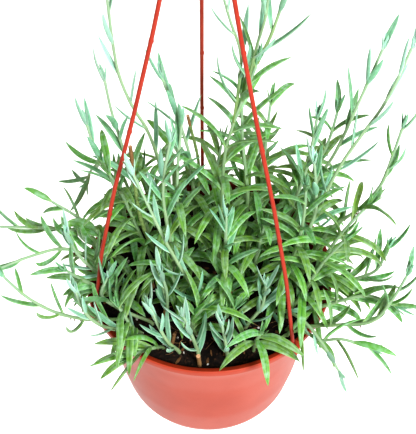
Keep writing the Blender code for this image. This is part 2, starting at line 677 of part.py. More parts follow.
def build_pot(parts):
    """The bowl with its lip, an ear for each arm and the drain holes, moulded as one."""
    outside = [(RIM_RADIUS, 0), (RIM_RADIUS, -LIP_HEIGHT), *((radius, -depth) for depth, radius in BOWL)]
    floor = POT_HEIGHT - FLOOR
    inside = [(0, -floor), *((bowl_inner(depth), -depth) for depth in (floor, *WALL_DEPTHS))]
    pot = turned("pot", [*inside, *outside, (BASE_RADIUS, -POT_HEIGHT), (0, -POT_HEIGHT)], parts)
    ears = helper_collection("ears")
    for side, angle in ARM_ANGLES.items():
        place = around(angle, EAR_REACH, 0)
        plug("ear " + side, place, EAR_RADIUS, -LIP_HEIGHT - EAR_PROUD, EAR_PROUD, EAR_SIDES, ears)
    pot = boolean(pot, "UNION", ears)
    holes = helper_collection("pot holes")
    for side, angle in ARM_ANGLES.items():
        place = around(angle, EAR_REACH, 0)
        plug("bore " + side, place, EAR_BORE, -3 * LIP_HEIGHT, LIP_HEIGHT, BORE_SIDES, holes)
    for number in range(DRAIN_COUNT):
        place = around(45 + 360 / DRAIN_COUNT * number, DRAIN_RING, 0)
        plug(f"drain {number}", place, DRAIN_RADIUS, -POT_HEIGHT - FLOOR, FLOOR - floor, BORE_SIDES, holes)
    pot = boolean(pot, "DIFFERENCE", holes)
    dress(pot, pot_plastic())


def build_soil(parts, lines):
    """The soil, which fills the pot, with a plain hole for the root end of each stem."""
    bottom = POT_HEIGHT - FLOOR - FIT_GAP
    depths = [SOIL_DEPTH, *SOIL_DEPTHS, bottom]
    profile = [(0, -SOIL_DEPTH), *((bowl_inner(depth) - FIT_GAP, -depth) for depth in depths), (0, -bottom)]
    soil = turned("soil", profile, parts)
    holes = helper_collection("stem holes")
    deep = -SOIL_DEPTH - ROOT_DEPTH - FIT_GAP
    for shoot, line in lines.items():
        if not shoot.fork:
            plug("hole " + shoot.stem, line[0], STEM_RADIUS + HOLE_GAP, deep, 0, HOLE_SIDES, holes)
    soil = boolean(soil, "DIFFERENCE", holes)
    dress(soil, potting_soil())


def build_arm(parts, side, angle):
    """One hanger arm: a foot that passes down through its ear, nubs, and a plain top end."""
    line = smooth_route(arm_route(angle), ARM_STEP)
    foot = line[0]
    points = [foot - (0, 0, FOOT_DROP + below) for below in FOOT_STEPS]
    radii = [FOOT_TIP, FOOT_SWELL, FOOT_SWELL, 1.0]
    for place in line:
        points.append(place)
        radii.append(1.0)
    for height in NUB_HEIGHTS:
        for offset, swell in ((-1, 1.0), (0, NUB_SWELL), (1, 1.0)):
            tall = height + offset * NUB_LENGTH
            spot = [np.interp(tall, line[:, 2], line[:, axis]) for axis in range(3)]
            points.append(np.array(spot))
            radii.append(swell)
    order = np.argsort([point[2] for point in points])
    route = [points[index] for index in order]
    sizes = [radii[index] * ARM_RADIUS for index in order]
    arm = made_mesh(tube("hanger_arm_" + side, route, sizes, parts, 1))
    dress(arm, hanger_plastic(side))


def hook_points():
    """The neck, straight up from the hub, and the open loop over it."""
    bottom = HUB_TOP + HOOK_NECK
    centre = bottom + HOOK_LOOP
    points = [(HUB_LEAN, 0, HUB_TOP - HOOK_SUNK), (HUB_LEAN, 0, HUB_TOP + HOOK_NECK / 3)]
    for angle in range(HOOK_START, HOOK_END, HOOK_TURN):
        turn = math.radians(angle)
        points.append((HUB_LEAN + HOOK_LOOP * math.cos(turn), 0, centre + HOOK_LOOP * math.sin(turn)))
    return points


def build_hook(parts):
    """The hub that holds the three arms in sockets, and the hook on it."""
    profile = [
        (0, HUB_TOP),
        (HUB_RADIUS / 2, HUB_TOP),
        (HUB_RADIUS, HUB_TOP - HUB_SLOPE),
        (HUB_RADIUS, HUB_BOTTOM),
        (0, HUB_BOTTOM),
    ]
    hub = turned("hanger_hook", profile, parts, centre=(HUB_LEAN, 0))
    hub.modifiers["turn"].steps = hub.modifiers["turn"].render_steps = HUB_STEPS
    joined = helper_collection("hook wire")
    route = smooth_route(hook_points(), HOOK_STEP)
    made_mesh(tube("wire", route, np.full(len(route), HOOK_WIRE), joined, 1))
    hub = boolean(hub, "UNION", joined)
    sockets = helper_collection("sockets")
    for side, angle in ARM_ANGLES.items():
        line = smooth_route(arm_route(angle), ARM_STEP)
        ahead = unit(line[-1] - line[-2])
        low, high = line[-1] - SOCKET_LENGTH * ahead, line[-1] + FIT_GAP * ahead
        made_mesh(tube("socket " + side, [low, high], [SOCKET_RADIUS] * 2, sockets, 1))
    hub = boolean(hub, "DIFFERENCE", sockets)
    dress(hub, hanger_plastic("hook"))


def leaf_mesh(name, leaf, collection):
    """A pointed blade with a flat face and a keel below, its root sunk in the stem."""
    data = bmesh.new()
    rings = []
    for t in leaf_rings(leaf):
        middle = leaf_point(leaf, t)
        _, across, face = leaf_frame(leaf, t)
        width = leaf.width * blade_width(t)
        places = (
            middle + across * width / 2 + face * width * LEAF_TOP,
            middle - across * width / 2 + face * width * LEAF_TOP,
            middle - face * width * LEAF_KEEL,
        )
        rings.append([data.verts.new(place) for place in to_metres(places)])
    tip = data.verts.new(to_metres([leaf_point(leaf, 1.0)])[0])
    data.faces.new(rings[0])
    for low, high in zip(rings, rings[1:]):
        for index in range(3):
            after = (index + 1) % 3
            data.faces.new((low[index], high[index], high[after]))
            data.faces.new((low[index], high[after], low[after]))
    for index in range(3):
        data.faces.new((rings[-1][index], tip, rings[-1][(index + 1) % 3]))
    bmesh.ops.recalc_face_normals(data, faces=data.faces)
    return add_mesh(name, data, collection)


def build_stem(parts, name, lines, leaves, solver="EXACT"):
    """A leafy stem: its own line, the shoots that fork from it and all their leaves, as one body."""
    shoots = [shoot for shoot in lines if shoot.stem == name]
    first = lines[shoots[0]]
    stem = made_mesh(tube("stem_" + name, first, stem_radii(len(first)), parts))
    joined = helper_collection("leaves of " + name)
    for number, shoot in enumerate(shoots[1:]):
        line = lines[shoot]
        made_mesh(tube(f"{name} fork {number}", line, FORK_SIZE * stem_radii(len(line)), joined))
    for number, leaf in enumerate(leaves[name]):
        leaf_mesh(f"{name} leaf {number}", leaf, joined)
    stem = boolean(stem, "UNION", joined, solver)
    dress(stem, foliage(name, shoots[0].habit))


def main():
    for obj in list(bpy.data.objects):
        bpy.data.objects.remove(obj)
    parts = new_collection("potted string of fishhooks")
    names, lines = plan_stems()
    leaves = plan_leaves(names, lines)
    build_pot(parts)
    build_soil(parts, lines)
    for side, angle in ARM_ANGLES.items():
        build_arm(parts, side, angle)
    build_hook(parts)
    for name in names:
        build_stem(parts, name, lines, leaves)


main()
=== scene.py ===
"""The looks of a potted string of fishhooks, a leafy succulent in a moulded hanging pot.

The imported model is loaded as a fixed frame. The stems and leaves are planned again here by the
rule that placed the solids, so every fine leaf lies where its solid blade is. Lengths in the
plan are millimetres from the rim's centre, with +Z up. Pieces are in metres from the centre of
the pot's base.
"""

import logging
import math
import random
from abc import ABC, abstractmethod
from dataclasses import dataclass, field
from enum import Enum
from typing import Callable, Iterable, Iterator, NamedTuple, Sequence

import bmesh
import bpy
import numpy as np
from mathutils import Matrix, Vector, noise

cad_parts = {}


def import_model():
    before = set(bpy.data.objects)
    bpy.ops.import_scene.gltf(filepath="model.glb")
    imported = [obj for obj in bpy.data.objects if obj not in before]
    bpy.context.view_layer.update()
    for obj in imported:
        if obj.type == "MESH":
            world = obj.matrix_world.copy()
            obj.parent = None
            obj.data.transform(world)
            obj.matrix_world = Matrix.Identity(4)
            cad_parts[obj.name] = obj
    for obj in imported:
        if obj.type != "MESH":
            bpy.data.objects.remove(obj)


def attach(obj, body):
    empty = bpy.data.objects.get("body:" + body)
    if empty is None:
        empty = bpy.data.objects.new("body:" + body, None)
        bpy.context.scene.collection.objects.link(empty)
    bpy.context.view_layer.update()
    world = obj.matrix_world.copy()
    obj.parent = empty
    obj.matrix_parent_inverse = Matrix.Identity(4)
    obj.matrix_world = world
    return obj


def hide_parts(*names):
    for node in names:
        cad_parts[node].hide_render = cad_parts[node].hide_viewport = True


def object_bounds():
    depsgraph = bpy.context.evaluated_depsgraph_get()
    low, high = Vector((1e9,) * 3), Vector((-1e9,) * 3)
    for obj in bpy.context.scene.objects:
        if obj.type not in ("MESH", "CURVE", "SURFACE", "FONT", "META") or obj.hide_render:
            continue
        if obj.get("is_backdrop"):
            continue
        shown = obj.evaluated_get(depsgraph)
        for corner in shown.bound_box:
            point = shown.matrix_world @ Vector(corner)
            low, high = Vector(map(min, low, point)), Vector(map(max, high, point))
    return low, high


LOG = logging.getLogger("fishhooks")
MM = 0.001
SEED = 7
# A leaf that bends through less than this many radians counts as straight
STRAIGHT = 0.02
# The points and faces of a closed form
Form = tuple[np.ndarray, list]


class Slot(Enum):
    """The record's material slots."""

    POT = "pot_plastic"
    HANGER = "hanger_plastic"
    SOIL = "potting_soil"
    YOUNG = "young_foliage"
    MATURE = "mature_foliage"


# Points and lines


def unit(vector: np.ndarray) -> np.ndarray:
    """Returns the vector with a length of 1."""
    return vector / np.linalg.norm(vector)


def around(angle: float, radius: float, height: float = 0.0) -> np.ndarray:
    """Returns the point at an angle in degrees round the pot's axis."""
    turn = math.radians(angle)
    return np.array([radius * math.cos(turn), radius * math.sin(turn), height])


def ease(share: np.ndarray | float) -> np.ndarray | float:
    """Returns 0 to 1 with soft ends for a share that may run past both."""
    held = np.clip(share, 0, 1)
    return held * held * (3 - 2 * held)


def blend(first: float, last: float, share: float) -> float:
    """Returns the value at a share of the way from the first to the last."""
    return first + (last - first) * share


def distances(line: np.ndarray) -> np.ndarray:
    """Returns how far along a line each of its points lies."""
    return np.concatenate([[0], np.cumsum(np.linalg.norm(np.diff(line, axis=0), axis=1))])


def spot_at(line: np.ndarray, run: np.ndarray, place: float | np.ndarray) -> np.ndarray:
    """Returns the point at a place along a line, or a row for each place, from its points' distances."""
    return np.stack([np.interp(place, run, line[:, axis]) for axis in range(3)], axis=-1)


def evenly(line: np.ndarray, step: float) -> np.ndarray:
    """Returns points about a step apart along a line, with both of its ends."""
    run = distances(line)
    return spot_at(line, run, np.linspace(0, run[-1], max(2, round(run[-1] / step)) + 1))


def smooth_route(points: Sequence, step: float, runs: int = 12) -> np.ndarray:
    """Spaces points evenly along a smooth curve through the given ones.

    Args:
        points: The points that the curve passes through.
        step: The spacing in millimetres.
        runs: How many straight runs stand for the curve between two points.

    Returns:
        The new points, one row each.
    """
    points = np.array(points, float)
    ends = [2 * points[0] - points[1], *points, 2 * points[-1] - points[-2]]
    fine = []
    for before, start, end, after in zip(ends, ends[1:], ends[2:], ends[3:]):
        for t in np.linspace(0, 1, runs, endpoint=False):
            square = (2 * before - 5 * start + 4 * end - after) * t**2
            cube = (3 * start - before - 3 * end + after) * t**3
            fine.append(0.5 * (2 * start + (end - before) * t + square + cube))
    return evenly(np.array(fine + [points[-1]]), step)


def closest(
    a_start: np.ndarray, a_end: np.ndarray, b_start: np.ndarray, b_end: np.ndarray
) -> tuple[np.ndarray, np.ndarray, np.ndarray]:
    """Finds the nearest points of two segments, for arrays of both.

    Args:
        a_start: Where the first segments start.
        a_end: Where they end.
        b_start: Where the second segments start.
        b_end: Where they end.

    Returns:
        The vector between the nearest points, and their shares along each segment.
    """
    along_a, along_b, between = a_end - a_start, b_end - b_start, a_start - b_start
    aa = np.maximum((along_a**2).sum(-1), 1e-9)
    bb = np.maximum((along_b**2).sum(-1), 1e-9)
    ab = (along_a * along_b).sum(-1)
    a_off = (along_a * between).sum(-1)
    b_off = (along_b * between).sum(-1)
    share_a = np.clip((ab * b_off - a_off * bb) / np.maximum(aa * bb - ab**2, 1e-9), 0, 1)
    share_b = np.clip((ab * share_a + b_off) / bb, 0, 1)
    share_a = np.clip((ab * share_b - a_off) / aa, 0, 1)
    return between + share_a[..., None] * along_a - share_b[..., None] * along_b, share_a, share_b


# Closed forms


def quads(rings: int, sides: int) -> list[tuple[int, ...]]:
    """Returns the faces between rings of points, each with so many sides."""
    faces = []
    for low in range(0, (rings - 1) * sides, sides):
        for side in range(sides):
            after = (side + 1) % sides
            faces.append((low + side, low + sides + side, low + sides + after, low + after))
    return faces


def stacked(rows: Sequence, top: Sequence[float], bottom: Sequence[float]) -> Form:
    """Joins rings of points to a closed solid.

    Args:
        rows: The rings, from the top down and round.
        top: The point that closes the first ring.
        bottom: The point that closes the last ring.

    Returns:
        The solid's points and faces.
    """
    steps = len(rows[0])
    last = (len(rows) - 1) * steps
    faces = quads(len(rows), steps)
    for step in range(steps):
        after = (step + 1) % steps
        faces.append((last + steps, step, after))
        faces.append((last + steps + 1, last + after, last + step))
    return np.vstack([*rows, [top, bottom]]), faces


def turned(profile: Sequence[tuple[float, float]], steps: int, centre: tuple[float, float] = (0, 0)) -> Form:
    """Turns a profile round the vertical axis.

    Args:
        profile: Radius and height, from the top of the axis round to its bottom.
        steps: How many steps the turn has.
        centre: The axis's place.

    Returns:
        The points and faces of the closed solid.
    """
    turn = np.arange(steps) * 2 * math.pi / steps
    rows = []
    for radius, height in profile[1:-1]:
        ring = np.stack([radius * np.cos(turn), radius * np.sin(turn), np.full(steps, height)], axis=1)
        rows.append(ring + (*centre, 0))
    return stacked(rows, (*centre, profile[0][1]), (*centre, profile[-1][1]))


def rod(radius: float, top: float, low: float) -> list[tuple[float, float]]:
    """Returns the profile of a plain upright rod."""
    return [(0, top), (radius, top), (radius, low), (0, low)]


def rounded(corners: Sequence[tuple[float, float, float]], steps: int = 4) -> list[tuple[float, float]]:
    """Rounds the corners of a profile.

    Args:
        corners: Radius, height and rounding in millimetres of each corner.
        steps: How many short runs each rounding has.

    Returns:
        The profile's points.
    """
    spots = [np.array(corner[:2], float) for corner in corners]
    found = [tuple(spots[0])]
    for last, spot, following, corner in zip(spots, spots[1:], spots[2:], corners[1:]):
        soft = corner[2]
        if not soft:
            found.append(tuple(spot))
            continue
        before, after = spot + unit(last - spot) * soft, spot + unit(following - spot) * soft
        for t in np.linspace(0, 1, steps + 1):
            found.append(tuple((1 - t) ** 2 * before + 2 * t * (1 - t) * spot + t**2 * after))
    return [*found, tuple(spots[-1])]


def tube(line: np.ndarray, radii: np.ndarray, sides: int) -> Form:
    """Builds a round tube of quads with a flat cap at each end.

    Args:
        line: Its middle line in millimetres.
        radii: Its radius at each point, or at each point and side.
        sides: How many sides it has.

    Returns:
        Its points and faces.
    """
    ahead = np.gradient(line, axis=0)
    ahead /= np.linalg.norm(ahead, axis=1)[:, None]
    side = np.array([1.0, 0, 0]) if abs(ahead[0][0]) < 0.8 else np.array([0, 1.0, 0])
    first = []
    for direction in ahead:
        side = unit(side - direction * direction.dot(side))
        first.append(side)
    first = np.array(first)
    second = np.cross(ahead, first)
    turn = np.arange(sides) * 2 * math.pi / sides
    radii = np.asarray(radii, float)
    radii = radii[:, None] if radii.ndim == 1 else radii
    out = first[:, None] * np.cos(turn)[None, :, None] + second[:, None] * np.sin(turn)[None, :, None]
    points = (line[:, None] + out * radii[..., None]).reshape(-1, 3)
    wall = [(a, d, c, b) for a, b, c, d in quads(len(line), sides)]
    return points, [tuple(range(sides))[::-1], *wall, tuple(range(len(points) - sides, len(points)))]


# Pieces


def link(name: str, data: bpy.types.ID) -> bpy.types.Object:
    """Returns a new object with that data, linked to the scene."""
    obj = bpy.data.objects.new(name, data)
    bpy.context.scene.collection.objects.link(obj)
    return obj


@dataclass
class Shell:
    """Points and faces that grow as parts are added, with what the materials read at each point.

    Marks are a share along the part, a share from its middle to its edge, a random tone and how
    ripe it is. Grain is a place along and across the part in millimetres, with a number of its own.
    """

    points: list = field(default_factory=list)
    faces: list = field(default_factory=list)
    looks: list = field(default_factory=list)
    marks: list = field(default_factory=list)
    grain: list = field(default_factory=list)
    count: int = 0

    def add(
        self,
        points: np.ndarray,
        faces: Sequence,
        marks: np.ndarray | None = None,
        grain: np.ndarray | None = None,
        look: int | Sequence = 0,
    ) -> None:
        """Adds one closed part.

        Args:
            points: Its points in millimetres from the rim's centre.
            faces: Its faces, numbered from its own first point.
            marks: Four numbers a point, or None.
            grain: Three numbers a point, or None.
            look: Which of the piece's materials its faces take, for all of them or for each.
        """
        self.points.append(points)
        self.faces.extend([tuple(corner + self.count for corner in face) for face in faces])
        self.looks.extend([look] * len(faces) if isinstance(look, int) else look)
        self.marks.append(np.zeros((len(points), 4)) if marks is None else marks)
        self.grain.append(points if grain is None else grain)
        self.count += len(points)

    def piece(
        self, name: str, materials: Sequence[bpy.types.Material], sharp: float = 40
    ) -> bpy.types.Object:
        """Makes the mesh object, in metres from the base's centre.

        Args:
            name: The piece's name.
            materials: Its materials, in the order of the faces' looks.
            sharp: The angle in degrees past which an edge stays sharp.

        Returns:
            The new object, linked to the scene.
        """
        points = (np.vstack(self.points) + (0, 0, HangingPot.height)) * MM
        mesh = bpy.data.meshes.new(name)
        mesh.from_pydata(points.tolist(), [], self.faces)
        for material in materials:
            mesh.materials.append(material)
        mesh.polygons.foreach_set("material_index", self.looks)
        marks = mesh.attributes.new("leaf_marks", "FLOAT_COLOR", "POINT")
        marks.data.foreach_set("color", np.vstack(self.marks).astype(np.float32).ravel())
        grain = mesh.attributes.new("leaf_grain", "FLOAT_VECTOR", "POINT")
        grain.data.foreach_set("vector", np.vstack(self.grain).astype(np.float32).ravel())
        mesh.shade_smooth()
        mesh.set_sharp_from_angle(angle=math.radians(sharp))
        return link(name, mesh)


def settle(piece: bpy.types.Object, slot: Slot, *nodes: str) -> bpy.types.Object:
    """Rides a piece on the plant's one body, and hides the solid nodes that it stands for.

    Args:
        piece: The piece.
        slot: The record's slot for its finish; not used.
        nodes: The solid nodes that it stands for, if it does.

    Returns:
        The piece.
    """
    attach(piece, "root")
    if nodes:
        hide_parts(*nodes)
    LOG.info("%s: %d faces", piece.name, len(piece.data.polygons))
    return piece


# Finishes


def srgb(code: str) -> tuple[float, float, float, float]:
    """Turns a hex colour such as #5E8F3C into linear values, with full cover."""
    parts = [int(code[place : place + 2], 16) / 255 for place in (1, 3, 5)]
    linear = [c / 12.92 if c <= 0.04045 else ((c + 0.055) / 1.055) ** 2.4 for c in parts]
    return (*linear, 1.0)


def fill(node: bpy.types.Node, values: dict) -> bpy.types.Node:
    """Sets a node's values and feeds its inputs.

    Args:
        node: The node.
        values: By property name, or by the name or number of an input: a value, a hex colour, or
            what feeds it, which is an output, or a node for its first output. "stops" holds the
            places and hex colours of a ramp.

    Returns:
        The node.
    """
    for key, value in values.items():
        if isinstance(value, bpy.types.Node):
            value = value.outputs[0]
        if key == "stops":
            ramp = node.color_ramp.elements
            while len(ramp) < len(value):
                ramp.new(0.5)
            for element, (place, code) in zip(ramp, value):
                element.position = place
                element.color = srgb(code)
        elif isinstance(value, bpy.types.NodeSocket):
            node.id_data.links.new(value, node.inputs[key])
        elif isinstance(key, str) and key in node.bl_rna.properties:
            setattr(node, key, value)
        else:
            node.inputs[key].default_value = srgb(value) if isinstance(value, str) else value
    return node


def add_node(tree: bpy.types.NodeTree, kind: str, values: dict) -> bpy.types.Node:
    """Adds a node, by its type name without the first two words, with its settings and links."""
    return fill(tree.nodes.new("ShaderNode" + kind), values)


@dataclass(frozen=True)
class Finish(ABC):
    """What every finish has: a name, and nodes that lead to the shader."""

    name: str

    @abstractmethod
    def paint(self, tree: bpy.types.NodeTree) -> dict:
        """Adds the nodes and returns the shader's values by input."""

    def build(self) -> bpy.types.Material:
        """Returns the material."""
        material = bpy.data.materials.new(self.name)
        material.use_nodes = True
        fill(material.node_tree.nodes["Principled BSDF"], self.paint(material.node_tree))
        return material


@dataclass(frozen=True)
class MouldedPolypropylene(Finish):
    """Injection-moulded polypropylene, dyed right through, with the satin skin of a polished mould.

    To the eye it is one even colour with broad soft highlights, faint flow marks, and specks of
    dust. Mark size is in millimetres, and the finer patterns are numbers of spots a metre.
    """

    colour: str
    worn: str
    roughness: float
    mark_size: float
    shine: float = 0.22
    dust: str = "#7A3A28"
    specks_a_metre: float = 900
    peel_a_metre: float = 700
    # How much smoother and rougher than its mean the skin is in places
    uneven: tuple = (-0.07, 0.1)

    def paint(self, tree: bpy.types.NodeTree) -> dict:
        """Adds the nodes and returns the shader's values by input."""
        place = add_node(tree, "TexCoord", {}).outputs["Object"]
        # Flow marks millimetres to centimetres across, which also make the gloss uneven
        cloud = add_node(tree, "TexNoise", {"Scale": 1 / (self.mark_size * MM), "Detail": 5, "Vector": place})
        marks = add_node(tree, "ValToRGB", {"stops": ((0.42, self.colour), (0.74, self.worn)), "Fac": cloud})
        # Specks of dust about a millimetre apart
        speck = add_node(tree, "TexNoise", {"Scale": self.specks_a_metre, "Detail": 2, "Vector": place})
        dust = add_node(tree, "MapRange", {"From Min": 0.7, "From Max": 0.78, "To Max": 0.35, "Value": speck})
        colour = add_node(tree, "Mix", {"data_type": "RGBA", 0: dust, 6: marks, 7: self.dust})
        low, high = (self.roughness + change for change in self.uneven)
        gloss = add_node(tree, "MapRange", {"To Min": low, "To Max": high, "Value": cloud})
        # The fine orange-peel of moulded plastic, drawn coarser than its real 0.2 mm so that it shows
        peel = add_node(tree, "TexNoise", {"Scale": self.peel_a_metre, "Detail": 3, "Vector": place})
        bump = add_node(tree, "Bump", {"Strength": 0.18, "Distance": 0.2 * MM, "Height": peel})
        looks = {"Base Color": colour.outputs[2], "Roughness": gloss, "Normal": bump}
        return {**looks, "IOR": 1.49, "Specular IOR Level": self.shine}


@dataclass(frozen=True)
class LooseGrit(Finish):
    """Loose natural bits, such as peat crumbs, bark or perlite, broken and never polished.

    To the eye each bit is rough and matt, and no two have quite the same colour. Its grain is in
    millimetres.
    """

    dark: str
    light: str
    grain: float
    roughness: float = 0.95

    def paint(self, tree: bpy.types.NodeTree) -> dict:
        """Adds the nodes and returns the shader's values by input."""
        marks = add_node(tree, "Attribute", {"attribute_name": "leaf_marks"})
        tone = add_node(tree, "SeparateColor", {"Color": marks}).outputs["Blue"]
        place = add_node(tree, "TexCoord", {}).outputs["Object"]
        fine = add_node(tree, "TexNoise", {"Scale": 1 / (self.grain * MM), "Detail": 6, "Vector": place})
        both = add_node(tree, "Math", {"operation": "ADD", 0: fine, 1: tone})
        share = add_node(tree, "Math", {"operation": "MULTIPLY", 0: both, 1: 0.62})
        colour = add_node(tree, "ValToRGB", {"stops": ((0.25, self.dark), (0.95, self.light)), "Fac": share})
        bump = add_node(tree, "Bump", {"Strength": 0.8, "Distance": 0.6 * MM, "Height": fine})
        looks = {"Base Color": colour, "Normal": bump}
        return {**looks, "Roughness": self.roughness, "Specular IOR Level": 0.25}


@dataclass(frozen=True)
class WaxyLeafSkin(Finish):
    """The skin of a living succulent leaf, smooth and under a thin powdery wax bloom.

    To the eye it is blue-green and dull where the bloom is whole and full green where the leaf is
    old and the bloom is gone, with a darker line down the middle and fine veins. Its paler margins are
    partly the leaf's own colour and partly a painted bright rim, where light shines through the thin edge.
    Each row of colours runs from young to old, at the given ages.
    """

    greener: float = 0.0
    ages: tuple = (0.0, 0.3, 0.62, 0.95)
    body: tuple = ("#A2CDB6", "#80B893", "#669A54", "#6E9C44")
    groove: tuple = ("#84B49C", "#5A9876", "#457A3C", "#4A7830")
    # Paler margins: partly the leaf's own colour, partly a painted bright rim of light through the thin edge
    margin: tuple = ("#DCEFE4", "#B2D8BC", "#90BE88", "#9CC47C")
    bloom: str = "#B7D8CC"
    pale_root: str = "#B9D39A"
    dry_tip: str = "#6B6A45"

    def paint(self, tree: bpy.types.NodeTree) -> dict:
        """Adds the nodes and returns the shader's values by input."""
        marks = add_node(tree, "Attribute", {"attribute_name": "leaf_marks"})
        grain = add_node(tree, "Attribute", {"attribute_name": "leaf_grain"}).outputs["Vector"]
        along, edge, tone = add_node(tree, "SeparateColor", {"Color": marks}).outputs
        ripe = add_node(tree, "Math", {"operation": "ADD", 0: marks.outputs["Alpha"], 1: self.greener})
        body, groove, margin = (
            add_node(tree, "ValToRGB", {"stops": tuple(zip(self.ages, codes)), "Fac": ripe})
            for codes in (self.body, self.groove, self.margin)
        )
        # Parallel veins about half a millimetre apart, wandering over a few millimetres
        stretched = add_node(tree, "Mapping", {"Scale": (0.05, 1.9, 1.0), "Vector": grain})
        veins = add_node(tree, "TexNoise", {"Scale": 1.0, "Detail": 3, "Vector": stretched})
        # Patches of bloom a few millimetres across, rubbed thin between them
        patches = add_node(tree, "TexNoise", {"Scale": 0.3, "Detail": 4, "Vector": grain})
        wander = add_node(tree, "Math", {"operation": "MULTIPLY_ADD", 0: veins, 1: 0.3, 2: -0.15})
        reach = add_node(tree, "Math", {"operation": "ADD", 0: edge, 1: wander})
        soft = {"interpolation_type": "SMOOTHSTEP"}
        colour = groove
        # Each tint over the last, with what it follows and the range in which it comes up
        for tint, source, limits in (
            (body, reach, {**soft, "From Max": 0.26}),
            # The margin tint is partly the leaf's own paler edge and partly a painted bright rim of light
            (margin, reach, {**soft, "From Min": 0.8, "From Max": 1.0, "To Max": 0.9}),
            (self.bloom, patches, {"From Min": 0.42, "From Max": 0.72, "To Max": 0.4}),
            (self.pale_root, along, {"From Min": 0.16, "From Max": 0.0, "To Max": 0.6}),
            (self.dry_tip, along, {"From Min": 0.965, "From Max": 1.0, "To Max": 0.7}),
        ):
            share = add_node(tree, "MapRange", {**limits, "Value": source})
            colour = add_node(tree, "Mix", {"data_type": "RGBA", 0: share, 6: colour, 7: tint}).outputs[2]
        value = add_node(tree, "MapRange", {"To Min": 0.78, "To Max": 1.16, "Value": tone})
        hue = add_node(tree, "MapRange", {"To Min": 0.485, "To Max": 0.515, "Value": tone})
        varied = {"Saturation": 1.06, "Hue": hue, "Value": value, "Color": colour}
        colour = add_node(tree, "HueSaturation", varied)
        gloss = add_node(tree, "MapRange", {"To Min": 0.34, "To Max": 0.62, "Value": patches})
        bump = add_node(tree, "Bump", {"Strength": 0.35, "Distance": 0.3 * MM, "Height": veins})
        looks = {"Base Color": colour, "Roughness": gloss, "Normal": bump}
        # Light passes about a millimetre into the watery flesh, green furthest
        flesh = {
            "Subsurface Weight": 0.15,
            "Subsurface Radius": (0.5, 1.0, 0.3),
            "Subsurface Scale": 1.2 * MM,
        }
        return {**looks, **flesh, "IOR": 1.42, "Specular IOR Level": 0.7}


@dataclass(frozen=True)
class StemRind(Finish):
    """The rind of a living succulent stem, ribbed, pale and under a thin bloom.

    To the eye it is pale yellow-green to grey-green, with long faint ribs and olive where it ages.
    """

    fresh: str
    aged: str
    bloomed: str = "#A9CDB4"

    def paint(self, tree: bpy.types.NodeTree) -> dict:
        """Adds the nodes and returns the shader's values by input."""
        marks = add_node(tree, "Attribute", {"attribute_name": "leaf_marks"})
        grain = add_node(tree, "Attribute", {"attribute_name": "leaf_grain"}).outputs["Vector"]
        along = add_node(tree, "SeparateColor", {"Color": marks})
        # Ribs about a millimetre apart round the stem
        stretched = add_node(tree, "Mapping", {"Scale": (0.06, 1.6, 1.0), "Vector": grain})
        ribs = add_node(tree, "TexNoise", {"Scale": 1.0, "Detail": 4, "Vector": stretched})
        aged = add_node(tree, "ValToRGB", {"stops": ((0.35, self.aged), (0.62, self.fresh)), "Fac": ribs})
        colour = add_node(tree, "Mix", {"data_type": "RGBA", 0: along, 6: aged, 7: self.bloomed})
        bump = add_node(tree, "Bump", {"Strength": 0.4, "Distance": 0.4 * MM, "Height": ribs})
        return {"Base Color": colour.outputs[2], "Normal": bump, "Roughness": 0.55, "IOR": 1.42}


@dataclass(frozen=True)
class MattPaint(Finish):
    """Matt white emulsion on a studio floor, rolled on.

    To the eye it is an even near-white with no gloss, and very faint roller clouding.
    """

    name: str = "matt white studio paint"
    colour: str = "#FAFAF8"
    cloud: str = "#F5F5F2"

    def paint(self, tree: bpy.types.NodeTree) -> dict:
        """Adds the nodes and returns the shader's values by input."""
        place = add_node(tree, "TexCoord", {}).outputs["Object"]
        # Roller clouding about a third of a metre across
        patch = add_node(tree, "TexNoise", {"Scale": 3, "Detail": 3, "Vector": place})
        colour = add_node(tree, "ValToRGB", {"stops": ((0.3, self.cloud), (0.7, self.colour)), "Fac": patch})
        return {"Base Color": colour, "Roughness": 0.9, "Specular IOR Level": 0.1}


# The pot, the soil and the hanger


